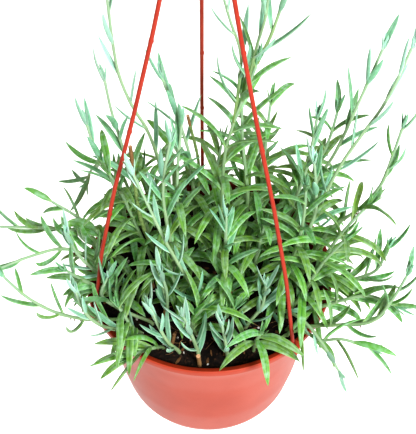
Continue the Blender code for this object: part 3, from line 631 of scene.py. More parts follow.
@dataclass
class HangingPot:
    """The round pot with its lip, three ears that hold the hanger's feet, and drain holes."""

    finish: MouldedPolypropylene
    # The finish of the inside and the lip's top, darker as painted shade
    shaded_inner_finish: MouldedPolypropylene
    rim_radius: float = 80.0
    height: float = 118.0
    base_radius: float = 46.0
    lip_height: float = 4.4
    lip_width: float = 3.5
    wall: float = 2.0
    floor: float = 3.0
    inner_drop: float = 1.6
    # Depth and radius of the outside, and the depths at which the inside turns
    bowl: tuple = ((4.4, 76.0), (20.0, 71.0), (42.0, 67.2), (80.0, 63.0), (104.0, 58.2), (113.0, 53.0))
    turns: tuple = (20.0, 42.0, 80.0, 104.0)
    shoulder: float = 8.0
    ear_reach: float = 79.0
    ear_radius: float = 4.6
    ear_proud: float = 0.5
    ear_edge: float = 0.5
    ear_bore: float = 1.8
    ear_steps: int = 40
    bore_top: float = 2.0
    bore_lips: float = 3.0
    bore_steps: int = 24
    drain_radius: float = 4.0
    drain_ring: float = 26.0
    drains: int = 4
    first_drain: float = 45.0
    drain_past: float = 1.0
    drain_steps: int = 32
    steps: int = 144
    sharp: float = 32.0

    def inner(self, depth: float) -> float:
        """Returns the pot's inner radius at a depth below the rim."""
        depths = [0.0, *(point[0] + self.inner_drop for point in self.bowl[:-1]), self.height - self.floor]
        radii = [self.rim_radius - self.lip_width, *(point[1] - self.wall for point in self.bowl[:-1])]
        return float(np.interp(depth, depths, [*radii, self.base_radius - self.wall]))

    def profile(self) -> list[tuple[float, float]]:
        """Returns the wall's section, from the middle of the floor up over the lip and down outside."""
        floor, edge, base = self.height - self.floor, self.rim_radius, -self.height
        lip_depth, neck = self.bowl[0]
        # Each corner's third number is its rounding in millimetres
        corners = [(0, -floor, 0), (self.inner(floor), -floor, 3)]
        corners += [(self.inner(depth), -depth, 3) for depth in reversed(self.turns)]
        corners += [(self.inner(self.shoulder), -self.shoulder, 1), (self.inner(0), 0, 0.9), (edge, 0, 0.9)]
        corners += [(edge, -self.lip_height, 0.6), (neck, -lip_depth, 0.5)]
        corners += [(radius, -depth, 4) for depth, radius in self.bowl[1:]]
        return rounded([*corners, (self.base_radius, base, 1.5), (0, base, 0)])

    def build(self, ears: Sequence[float]) -> bpy.types.Object:
        """Builds the pot.

        Args:
            ears: The angles in degrees at which the ears stand.

        Returns:
            The finished piece.
        """
        shell = Shell()
        profile = self.profile()
        points, faces = turned(profile, self.steps)
        shell.add(points, [face[::-1] for face in faces])
        # The inside and the top of the lip take the second, rougher finish, whose darker colour is painted
        # shade
        lip_end = max(row for row, (_, height) in enumerate(profile) if height >= 0)
        inside = (lip_end - 1) * self.steps
        shell.looks = [int(min(face) < inside or max(face) == len(points) - 2) for face in shell.faces]
        pot = shell.piece("moulded_pot", [self.finish.build(), self.shaded_inner_finish.build()])
        bosses, bores = Shell(), Shell()
        for angle in ears:
            spot = tuple(around(angle, self.ear_reach)[:2])
            corners = rod(self.ear_radius, self.ear_proud, -self.lip_height - self.ear_proud)
            edges = (0, self.ear_edge, self.ear_edge, 0)
            boss = rounded([(*corner, edge) for corner, edge in zip(corners, edges)])
            bosses.add(*turned(boss, self.ear_steps, spot))
            bore = rod(self.ear_bore, self.bore_top, -self.bore_lips * self.lip_height)
            bores.add(*turned(bore, self.bore_steps, spot))
        top, low = self.drain_past - self.height + self.floor, -self.height - self.drain_past
        for number in range(self.drains):
            spot = tuple(around(self.first_drain + 360 / self.drains * number, self.drain_ring)[:2])
            bores.add(*turned(rod(self.drain_radius, top, low), self.drain_steps, spot))
        for operation, tool in (("UNION", bosses), ("DIFFERENCE", bores)):
            other = tool.piece("tool", [])
            step = pot.modifiers.new("join", "BOOLEAN")
            step.operation = operation
            step.object = other
            graph = bpy.context.evaluated_depsgraph_get()
            mesh = bpy.data.meshes.new_from_object(pot.evaluated_get(graph))
            pot.modifiers.clear()
            pot.data = mesh
            bpy.data.objects.remove(other)
        pot.data.shade_smooth()
        pot.data.set_sharp_from_angle(angle=math.radians(self.sharp))
        return settle(pot, Slot.POT, "pot")


class Stub(NamedTuple):
    """What is left of a cut stem: its route up from the soil, its thickness and its dry share."""

    route: tuple
    radius: float
    dry: float = 1.0


# Short woody ends near the soil, and two bare stems that still stand
STUBS = (
    Stub(((-28, -33, -11), (-27, -30, -1)), 1.4),
    Stub(((-23, -54, -11), (-21, -50, -3)), 1.2),
    Stub(((-5, -69, -11), (-6, -70, 3)), 1.3),
    Stub(((10, -60, -11), (11, -63, 1)), 1.3),
    Stub(((14, -14, -11), (13, -18, 9)), 1.5),
    Stub(((36, 19, -11), (38, 16, 9)), 1.5),
    Stub(((54, 4, -11), (57, 0, 5)), 2.0),
    Stub(((-36, -8, -11), (-38, -10, 6)), 1.4),
)
BARE_STEMS = (
    Stub(((-12, 38, -11), (-6.5, 39.5, 49), (-13, 28.5, 108.5)), 0.95, 0.08),
    Stub(((-26, 3, -11), (-41, -3, 47), (-46, 6, 105)), 1.2, 0.22),
)


@dataclass
class CutStems:
    """Stems that were cut back, each with its dry end and its sunken pith."""

    name: str
    stubs: tuple
    bark: bpy.types.Material
    dry_bark: bpy.types.Material
    pith: bpy.types.Material
    step: float = 2.5
    sides: int = 14
    uneven: float = 0.08
    lip: float = 0.01
    rim: float = 0.78
    sunk: float = 0.35
    ring: float = 0.5
    tones: tuple = (0.2, 0.8)

    def build(self) -> bpy.types.Object:
        """Builds all of them as one piece."""
        shell = Shell()
        draw = random.Random(SEED + 9)
        for stub in self.stubs:
            side = smooth_route(stub.route, self.step)
            share = distances(side) / distances(side)[-1]
            radii = stub.radius * np.array([1 + draw.uniform(-self.uneven, self.uneven) for _ in side])
            ahead = unit(side[-1] - side[-2])
            line = np.vstack([side, side[-1] + ahead * self.lip, side[-1] - ahead * self.sunk])
            radii = np.concatenate([radii, [radii[-1] * self.rim, radii[-1] * self.ring]])
            points, faces = tube(line, radii, self.sides)
            looks = [0]
            for ring in range(len(line) - 1):
                look = 2 if ring >= len(side) - 1 else int(share[ring + 1] > 1 - stub.dry)
                looks.extend([look] * self.sides)
            marks = np.tile((0, 0, draw.uniform(*self.tones), 0.5), (len(points), 1))
            shell.add(points, faces, marks, look=[*looks, 2])
        return settle(shell.piece(self.name, [self.bark, self.dry_bark, self.pith], 50), Slot.SOIL)


class Bits(NamedTuple):
    """Bits of one kind: the piece's name, how many, the ranges of their length, width and thickness."""

    name: str
    count: int
    sizes: tuple
    finish: LooseGrit
    seed: int
    detail: int = 1


@dataclass
class PottingMix:
    """Potting mix of dark peat with bark, perlite and old roots, a little below the rim.

    Lumps and hills are each the width in millimetres of a swell of the soil's top and its height.
    """

    pot: HangingPot
    depth: float = 9.0
    gap: float = 0.3
    rings: int = 60
    steps: int = 180
    lumps: tuple = (9, 1.1)
    hills: tuple = (34, 1.2)
    flat_edge: float = 6.0
    broken: tuple = (0.72, 1.2)
    lean: float = 0.7
    sunk: float = 0.4
    bits_inset: float = 3.0
    fibres: int = 130
    fibre_inset: float = 8.0
    fibre_length: tuple = (5, 15)
    fibre_turn: float = 50.0
    fibre_lift: tuple = (0.2, 1.4)
    fibre_radius: tuple = (0.14, 0.3)
    fibre_tip: float = 0.5
    fibre_step: float = 2.0
    fibre_sides: int = 5
    bits: tuple = (
        Bits("peat_crumbs", 1500, ((0.8, 2.6), (0.8, 2.2), (0.6, 1.8)),
             LooseGrit("peat crumb", "#0D0806", "#3F2A1D", 1.2), SEED + 1),
        Bits("bark_chips", 150, ((2.5, 8.5), (1.2, 3.2), (0.7, 1.6)),
             LooseGrit("composted bark chip", "#24140C", "#8A6340", 1.6), SEED + 2),
        Bits("perlite_grains", 90, ((1.0, 2.6), (1.0, 2.2), (0.9, 2.0)),
             LooseGrit("expanded perlite", "#B9B4AA", "#F2F0EA", 0.7, 0.85), SEED + 3, 2),
    )

    def rise(self, x: float, y: float) -> float:
        """Returns the height of the soil's lumpy top at a place, in millimetres from the rim."""
        (lump, lump_height), (hill, hill_height) = self.lumps, self.hills
        lumps = noise.fractal(Vector((x / lump, y / lump, 3.1)), 1.0, 2.0, 5)
        hills = noise.noise(Vector((x / hill, y / hill, 8.7)))
        edge = ease((self.pot.inner(self.depth) - math.hypot(x, y)) / self.flat_edge)
        return -self.depth + edge * (lump_height * lumps + hill_height * hills)

    def body(self) -> None:
        """Builds the soil itself, with its lumpy top and the sides that fill the pot."""
        shell = Shell()
        reach = self.pot.inner(self.depth) - self.gap
        bottom = self.pot.height - self.pot.floor - self.gap
        turn = np.arange(self.steps) * 2 * math.pi / self.steps
        rows = []
        for ring in range(1, self.rings + 1):
            radius = reach * ring / self.rings
            row = [(radius * math.cos(a), radius * math.sin(a)) for a in turn]
            rows.append([(x, y, self.rise(x, y)) for x, y in row])
        for depth in (*self.pot.turns, bottom):
            radius = self.pot.inner(depth) - self.gap
            rows.append([(radius * math.cos(a), radius * math.sin(a), -depth) for a in turn])
        shell.add(*stacked(rows, (0, 0, self.rise(0, 0)), (0, 0, -bottom)))
        finish = LooseGrit("damp peat potting mix", "#0E0907", "#4A3222", 2.4)
        settle(shell.piece("potting_soil", [finish.build()], 60), Slot.SOIL, "soil")

    def lump(self, draw: random.Random, size: Sequence[float], detail: int) -> Form:
        """Breaks one bit.

        Args:
            draw: Where its random numbers come from.
            size: Its length, width and thickness.
            detail: How finely it is divided.

        Returns:
            Its points and faces.
        """
        data = bmesh.new()
        bmesh.ops.create_icosphere(data, subdivisions=detail, radius=0.5)
        for vert in data.verts:
            vert.co *= draw.uniform(*self.broken)
        turn = Matrix.Rotation(draw.uniform(0, 6.3), 3, "Z")
        turn = turn @ Matrix.Rotation(draw.uniform(-self.lean, self.lean), 3, "X")
        points = np.array([turn @ Vector([c * s for c, s in zip(vert.co, size)]) for vert in data.verts])
        faces = [tuple(vert.index for vert in face.verts) for face in data.faces]
        data.free()
        return points, faces

    def scatter(self, bits: Bits) -> None:
        """Strews bits of one kind over the soil."""
        draw = random.Random(bits.seed)
        shell = Shell()
        reach = self.pot.inner(self.depth) - self.bits_inset
        for _ in range(bits.count):
            size = [draw.uniform(low, high) for low, high in bits.sizes]
            points, faces = self.lump(draw, size, bits.detail)
            radius, angle = reach * math.sqrt(draw.random()), draw.uniform(0, 360)
            spot = around(angle, radius)
            spot[2] = self.rise(spot[0], spot[1]) + size[2] * draw.uniform(0.0, self.sunk)
            marks = np.tile((0, 0, draw.uniform(0, 1), 0), (len(points), 1))
            shell.add(points + spot, faces, marks)
        settle(shell.piece(bits.name, [bits.finish.build()], 50), Slot.SOIL)

    def roots(self) -> None:
        """Strews thin dry roots and needles over the soil."""
        draw = random.Random(SEED + 5)
        shell = Shell()
        reach = self.pot.inner(self.depth) - self.fibre_inset
        for _ in range(self.fibres):
            spot = around(draw.uniform(0, 360), reach * math.sqrt(draw.random()))
            heading, length = draw.uniform(0, 360), draw.uniform(*self.fibre_length)
            route = []
            for _ in range(4):
                spot = spot + around(heading, length / 3)
                heading += draw.uniform(-self.fibre_turn, self.fibre_turn)
                if math.hypot(spot[0], spot[1]) > reach + self.fibre_inset / 2:
                    break
                route.append((spot[0], spot[1], self.rise(spot[0], spot[1]) + draw.uniform(*self.fibre_lift)))
            if len(route) < 3:
                continue
            line = smooth_route(route, self.fibre_step)
            thick = draw.uniform(*self.fibre_radius)
            radii = np.linspace(thick, thick * self.fibre_tip, len(line))
            marks = np.tile((0, 0, draw.uniform(0, 1), 0), (len(line) * self.fibre_sides, 1))
            shell.add(*tube(line, radii, self.fibre_sides), marks)
        finish = LooseGrit("dry root fibre", "#3A2416", "#A8845A", 0.8)
        settle(shell.piece("soil_fibres", [finish.build()]), Slot.SOIL)

    def build(self) -> None:
        """Builds the soil and what lies on it."""
        self.body()
        for bits in self.bits:
            self.scatter(bits)
        self.roots()


class Arm(NamedTuple):
    """One hanger arm: its name and the angle in degrees of its ear."""

    side: str
    angle: float


ARMS = (Arm("left", 206.5), Arm("right", 310.8), Arm("back", 93.4))


@dataclass
class Hanger:
    """Three slim moulded arms from the pot's ears to a hub with an open hook.

    The arms' line is given by radius and height. The hub's corners are radius, height above its
    bottom and rounding. The hook is bent through angles in degrees, from its neck round to its tip.
    """

    pot: HangingPot
    finish: MouldedPolypropylene
    radius: float = 1.2
    line: tuple = (
        (79.0, 2.0), (78.0, 10.0), (74.0, 34.0), (63.0, 84.0), (45.5, 142.0), (23.5, 222.0), (4.4, 304.0),
    )
    step: float = 52.0
    fine_step: float = 1.0
    soft_rounds: int = 30
    sides: int = 16
    lean: float = -4.5
    nub_heights: tuple = (84.0, 142.0, 198.0)
    nub_swell: float = 1.35
    nub_length: float = 0.9
    foot_drop: float = 8.2
    foot_steps: tuple = (2.2, 0.6, -0.4, -1.4)
    foot_swell: float = 1.87
    foot_length: float = 1.1
    foot_tip: float = 0.55
    hub_bottom: float = 299.0
    hub_height: float = 15.0
    hub_steps: int = 64
    hub: tuple = (
        (0, 15, 0), (4, 15, 1), (8, 10, 1.5), (8, 6, 0.4), (7.5, 5.5, 0.2),
        (7.5, 4.5, 0.2), (8, 4, 0.4), (8, 0, 0.8), (0, 0, 0),
    )
    wire: float = 2.2
    loop: float = 13.8
    neck: float = 10.0
    neck_steps: tuple = (-4, 3)
    hook_angles: tuple = (-64, 217, 20)
    hook_tip: tuple = (0.85, 0.45)
    hook_step: float = 1.5
    hook_sides: int = 20

    def route(self, angle: float) -> np.ndarray:
        """Returns an arm's middle line, from its ear to the hub, which leans a little to one side."""
        points = np.array([around(angle, radius, height) for radius, height in self.line])
        points[:, 0] += self.lean * points[:, 2] / self.hub_bottom
        return points

    def arm(self, which: Arm, material: bpy.types.Material) -> None:
        """Builds one arm, with its nubs and the foot that holds it under its ear."""
        coarse = smooth_route(self.route(which.angle), self.step)
        foot = coarse[0]
        drops = [foot - (0, 0, self.foot_drop + step) for step in self.foot_steps]
        soft = evenly(np.array([*drops, *coarse]), self.fine_step)
        for _ in range(self.soft_rounds):
            soft[1:-1] = (soft[:-2] + 2 * soft[1:-1] + soft[2:]) / 4
        # The nubs stand out more on one side, where the mould's halves met
        lopsided = (0.7 + 0.3 * np.cos(np.arange(self.sides) * 2 * math.pi / self.sides))[None]
        radii = np.full((len(soft), self.sides), self.radius)
        for height in self.nub_heights:
            bulge = np.exp(-(((soft[:, 2] - height) / self.nub_length) ** 2))
            radii += self.radius * (self.nub_swell - 1) * bulge[:, None] * lopsided
        swell = np.exp(-(((soft[:, 2] - foot[2] + self.foot_drop) / self.foot_length) ** 2))
        radii += self.radius * (self.foot_swell - 1) * swell[:, None]
        radii[0] *= self.foot_tip
        shell = Shell()
        shell.add(*tube(soft, radii, self.sides))
        name = "hanger_arm_" + which.side
        settle(shell.piece("moulded_" + name, [material]), Slot.HANGER, name)

    def hook(self, material: bpy.types.Material) -> None:
        """Builds the hub and the open hook on it."""
        shell = Shell()
        corners = [(radius, self.hub_bottom + height, soft) for radius, height, soft in self.hub]
        shell.add(*turned(rounded(corners), self.hub_steps, (self.lean, 0)))
        top = self.hub_bottom + self.hub_height
        centre = top + self.neck + self.loop
        points = [(self.lean, 0, top + step) for step in self.neck_steps]
        for angle in range(*self.hook_angles):
            turn = math.radians(angle)
            points.append((self.lean + self.loop * math.cos(turn), 0, centre + self.loop * math.sin(turn)))
        line = smooth_route(points, self.hook_step)
        radii = np.full(len(line), self.wire)
        radii[-2:] *= self.hook_tip
        shell.add(*tube(line, radii, self.hook_sides))
        settle(shell.piece("moulded_hanger_hook", [material]), Slot.HANGER, "hanger_hook")

    def build(self) -> None:
        """Builds the arms and the hook."""
        material = self.finish.build()
        for which in ARMS:
            self.arm(which, material)
        self.hook(material)


# How the plant grows


class Habit(NamedTuple):
    """How a shoot carries its leaves, from the lowest leaf to the one at the tip.

    Widths are millimetres and angles are degrees. A leaf with a plus bend arches down and one with
    a minus bend turns up like a hook. Bare is the share of the stem below its first leaf. Ripe runs
    from 0, blue-green under its bloom, to 1, full green.
    """

    width: float
    tip_width: float
    spread: float
    tip_spread: float
    bend: float
    tip_bend: float
    bare: float
    ripe: float
    tip_ripe: float
    slot: Slot


YOUNG = Habit(3.5, 2.8, 42, 18, -30, -8, 0.16, 0.25, 0.0, Slot.YOUNG)
GROWN = Habit(4.6, 3.3, 44, 16, 100, -14, 0.1, 0.8, 0.25, Slot.YOUNG)
MATURE = Habit(4.9, 3.9, 44, 26, 104, 40, 0.12, 0.9, 0.6, Slot.MATURE)
ARCHING = Habit(5.1, 4.4, 42, 34, 122, 84, 0.12, 1.0, 0.8, Slot.MATURE)
FALLING = Habit(5.1, 4.6, 34, 12, 46, 30, 0.4, 1.0, 0.9, Slot.MATURE)
HOOKED = Habit(4.1, 3.4, 60, 30, -96, -40, 0.16, 0.85, 0.5, Slot.MATURE)


class Shoot(NamedTuple):
    """A shoot: its stem, where it forks from the stem, its leaves, and its route.

    A route starts at the soil and runs on through points in millimetres from the rim's centre. A
    shoot with a fork grows out of the first shoot of its stem, at that share of its length.
    """

    stem: str
    fork: float
    leaves: int
    length: float
    habit: Habit
    phase: float
    route: tuple


SHOOTS = (
    Shoot("tall_left", 0, 10, 36, YOUNG, 20, ((-22, 18), (-33, 28, 80), (-52, 36, 129), (-58, 48, 194))),
    Shoot("left_upper", 0, 9, 34, GROWN, 180, ((-34, 12), (-52, 20, 90), (-58, 24, 121), (-60, 26, 139))),
    Shoot("left_fan", 0, 9, 36, GROWN, 200, ((-46, 14), (-60, 18, 63), (-69, 22, 86), (-73, 26, 104))),
    Shoot("left_arch", 0, 8, 48, ARCHING, 180, ((-32, -2), (-53, 4, 66), (-60, 5, 84))),
    Shoot("left_high", 0, 8, 31, MATURE, 90, ((-56, 4), (-74, 8, 33), (-91, 15, 38), (-101, 20, 43))),
    Shoot("left_long", 0, 8, 34, HOOKED, 0, ((-62, -6), (-76, 2, 30), (-103, 5, 33), (-134, 8, 31))),
    Shoot("left_curl", 0, 8, 34, HOOKED, 60, ((-58, -18), (-76, -18, 34), (-95, -20, 42), (-126, -35, 42))),
    Shoot("left_thin", 0, 7, 31, HOOKED, 0, ((-50, -36), (-79, -52, 16), (-103, -50, 28), (-122, -42, 44))),
    Shoot("left_tuft", 0, 9, 31, YOUNG, 30, ((-48, -14), (-76, -20, 31), (-84, -22, 58))),
    Shoot("left_low", 0, 9, 34, MATURE, 180, ((-44, -28), (-69, -32, 20), (-84, -42, 50))),
    Shoot("left_rim", 0, 8, 28, YOUNG, 0, ((-42, -46), (-61, -56, 12), (-71, -62, 32), (-76, -62, 56))),
    Shoot("left_blade", 0, 8, 35, GROWN, 60, ((-36, -38), (-64, -38, 16), (-60, -38, 40))),
    Shoot("front_slant", 0, 12, 30, YOUNG, 200, ((2, -31), (-7, -34, 18), (-23, -38, 66), (-41, -38, 128))),
    Shoot("front_left_tuft", 0, 8, 30, YOUNG, 180, ((-26, -44), (-25, -46, 34), (-28, -48, 56))),
    Shoot("back_left", 0, 12, 36, GROWN, 150, ((-8, 30), (-12, 34, 66), (-20, 39, 98), (-28, 44, 124))),
    Shoot("mid_left", 0, 9, 32, GROWN, 200, ((-20, -8), (-26, -8, 59), (-27, -6, 86), (-22, -2, 118))),
    Shoot("mid_slim", 0, 8, 32, GROWN, 0, ((-12, 8), (-19, 6, 45), (-19, 9, 82), (-16, 13, 117))),
    Shoot("main", 0, 14, 45, MATURE, 180, ((6, 6), (8, 8, 53), (10, 12, 100), (26, 20, 156))),
    Shoot("main", 0.96, 5, 35, YOUNG, 0, ((31, 22, 167), (38, 26, 192), (42, 28, 210))),
    Shoot("main", 0.9, 5, 33, YOUNG, 180, ((25, 15, 172), (29, 12, 196), (30, 14, 212))),
    Shoot("main", 0.8, 6, 33, YOUNG, 160, ((17, 24, 158), (9, 28, 184), (5, 30, 200))),
    Shoot("second", 0, 11, 43, MATURE, 0, ((22, 14), (24, 18, 49), (20, 22, 89), (18, 28, 130))),
    Shoot("arch_right", 0, 9, 43, ARCHING, 20, ((32, 24), (34, 30, 79), (36, 36, 112))),
    Shoot("right_tall", 0, 8, 36, GROWN, 180, ((44, 14), (68, 20, 67), (78, 24, 90), (97, 34, 156))),
    Shoot("right_thick", 0, 10, 35, YOUNG, 180, ((54, 4), (75, 8, 80), (100, 18, 130), (111, 25, 165))),
    Shoot("right_elbow", 0, 8, 32, HOOKED, 90, ((56, -8), (73, -10, 50), (98, -6, 79), (108, 0, 128))),
    Shoot("right_cluster", 0, 11, 35, GROWN, 40, ((36, 8), (57, 14, 69), (62, 18, 118))),
    Shoot("right_back", 0, 9, 34, MATURE, 90, ((44, 28), (70, 31, 76), (76, 34, 108))),
    Shoot("right_slim", 0, 10, 34, GROWN, 20, ((42, -12), (61, -13, 57), (62, -12, 84), (59, -12, 111))),
    Shoot("right_pale", 0, 10, 40, MATURE, 180, ((42, -22), (49, -22, 26), (55, -20, 64), (55, -19, 97))),
    Shoot("right_arch", 0, 8, 49, ARCHING, 0, ((60, -18), (75, -20, 50), (92, -17, 80))),
    Shoot("right_fall", 0, 8, 47, ARCHING, 330, ((50, -32), (66, -34, 44), (79, -34, 70))),
    Shoot("right_trail", 0, 9, 31, HOOKED, 90, ((50, -42), (72, -52, 11), (98, -62, 30), (113, -56, 66))),
    Shoot("right_hooks", 0, 9, 35, HOOKED, 0, ((64, -8), (86, -20, 14), (101, -23, 24), (108, -20, 46))),
    Shoot("right_low", 0, 8, 35, MATURE, 90, ((58, -30), (82, -40, 20), (98, -45, 31), (111, -54, 33))),
    Shoot("right_leaf", 0, 8, 36, MATURE, 270, ((40, -54), (66, -64, 12), (80, -72, 24), (95, -78, 24))),
    Shoot("grey_trail", 0, 6, 19, YOUNG, 270, ((38, -30), (52, -44, 12), (66, -66, 16), (77, -88, 13))),
    Shoot("front_right_tuft", 0, 9, 32, YOUNG, 180, ((24, -40), (33, -41, 16), (34, -42, 38))),
    Shoot("front_shoot", 0, 10, 31, GROWN, 180, ((12, -22), (10, -23, 27), (10, -23, 78))),
    Shoot("front_pale", 0, 8, 31, YOUNG, 100, ((-6, -62), (-10, -65, 18), (-15, -64, 36))),
    Shoot("front_stub", 0, 8, 29, YOUNG, 0, ((12, -64), (10, -66, 14), (8, -66, 30))),
    Shoot("front_low", 0, 8, 29, YOUNG, 150, ((-18, -60), (-26, -66, 16), (-34, -64, 45))),
    Shoot("front_fall", 0, 7, 38, FALLING, 60, ((-28, -57), (-35, -64, 2), (-47, -72, 5))),
    Shoot("front_right", 0, 8, 41, ARCHING, 300, ((28, -58), (28, -64, 9), (31, -68, 24))),
    Shoot("front_cross", 0, 8, 47, ARCHING, 30, ((-8, -46), (-11, -49, 9), (-3, -51, 26))),
    Shoot("front_mid", 0, 8, 45, ARCHING, 0, ((12, -46), (8, -49, 8), (16, -50, 24))),
    Shoot("front_left", 0, 9, 43, ARCHING, 40, ((-40, -50), (-47, -56, 15), (-53, -58, 36))),
    Shoot("back_right", 0, 8, 38, MATURE, 0, ((42, 44), (60, 66, 24), (74, 86, 14), (84, 98, -14))),
    Shoot("back_mid_right", 0, 8, 38, HOOKED, 0, ((20, 48), (26, 76, 30), (34, 102, 18), (37, 114, -18))),
    Shoot("back_middle", 0, 8, 38, MATURE, 180, ((-22, 50), (-26, 78, 28), (-30, 104, 14), (-32, 114, -22))),
    Shoot("back_side_left", 0, 8, 38, HOOKED, 0, ((-44, 38), (-60, 60, 28), (-78, 78, 16), (-88, 88, -14))),
    Shoot("inner_left", 0, 8, 43, ARCHING, 90, ((-32, 30), (-38, 34, 26), (-42, 42, 52))),
    Shoot("inner_back", 0, 8, 43, ARCHING, 90, ((4, 44), (4, 52, 28), (8, 60, 56))),
    Shoot("inner_front", 0, 9, 41, ARCHING, 60, ((-16, -26), (-20, -26, 14), (-26, -24, 36))),
    Shoot("inner_right", 0, 9, 43, ARCHING, 240, ((28, -6), (30, -6, 20), (34, -4, 48))),
)


@dataclass
class Capsules:
    """Rounded rods that a stem or a leaf keeps clear of, each with the stem that it belongs to."""

    clearance: float
    start: np.ndarray = field(default_factory=lambda: np.zeros((0, 3)))
    end: np.ndarray = field(default_factory=lambda: np.zeros((0, 3)))
    radius: np.ndarray = field(default_factory=lambda: np.zeros(0))
    owner: np.ndarray = field(default_factory=lambda: np.zeros(0, int))
    root: np.ndarray = field(default_factory=lambda: np.zeros(0, bool))

    def add(self, line: np.ndarray, radii: np.ndarray, owner: int, rooted: bool = False) -> None:
        """Adds the rods along a line.

        Args:
            line: The middle line.
            radii: The radius at each of its points.
            owner: The number of the stem, or -1 for the hanger.
            rooted: Whether the first rod is a leaf's root, which its own stem may touch.
        """
        radii = np.asarray(radii, float)
        self.start = np.vstack([self.start, line[:-1]])
        self.end = np.vstack([self.end, line[1:]])
        self.radius = np.concatenate([self.radius, np.maximum(radii[:-1], radii[1:])])
        self.owner = np.concatenate([self.owner, np.full(len(line) - 1, owner)])
        self.root = np.concatenate([self.root, [rooted], np.zeros(len(line) - 2, bool)])

    def clear_of(self, line: np.ndarray, radii: np.ndarray, keep: np.ndarray) -> bool:
        """Tests a line against the rods.

        Args:
            line: The middle line.
            radii: The radius at each of its points.
            keep: Which rods count.

        Returns:
            Whether the line's rods miss every kept rod by the clearance.
        """
        if not keep.any():
            return True
        vector, _, _ = closest(line[:-1, None], line[1:, None], self.start[keep][None], self.end[keep][None])
        reach = np.maximum(radii[:-1], radii[1:])[:, None] + self.radius[keep][None] + self.clearance
        return bool((np.linalg.norm(vector, axis=-1) > reach).all())


class Leaf(NamedTuple):
    """A leaf on an arc of even curvature: its root, first direction, the way it bends and its size."""

    base: np.ndarray
    ahead: np.ndarray
    inward: np.ndarray
    bend: float
    side: np.ndarray
    length: float
    width: float

    def point(self, t: float) -> np.ndarray:
        """Returns where the middle line is at a share of the length."""
        if abs(self.bend) < STRAIGHT:
            return self.base + self.ahead * self.length * t
        turn = self.bend * t
        arc = self.ahead * math.sin(turn) + self.inward * (1 - math.cos(turn))
        return self.base + self.length / self.bend * arc

    def frame(self, t: float) -> tuple[np.ndarray, np.ndarray, np.ndarray]:
        """Returns the unit vectors along, across and out of the face."""
        ahead = self.ahead * math.cos(self.bend * t) + self.inward * math.sin(self.bend * t)
        across = unit(self.side - ahead * self.side.dot(ahead))
        return ahead, across, np.cross(across, ahead)


class Wish(NamedTuple):
    """How a leaf would grow with nothing in its way, in millimetres and degrees."""

    base: np.ndarray
    forward: np.ndarray
    turn: float
    spread: float
    bend: float
    length: float
    width: float
    ripe: float


class GrownLeaf(NamedTuple):
    """A leaf that found room, with how ripe it is."""

    leaf: Leaf
    ripe: float


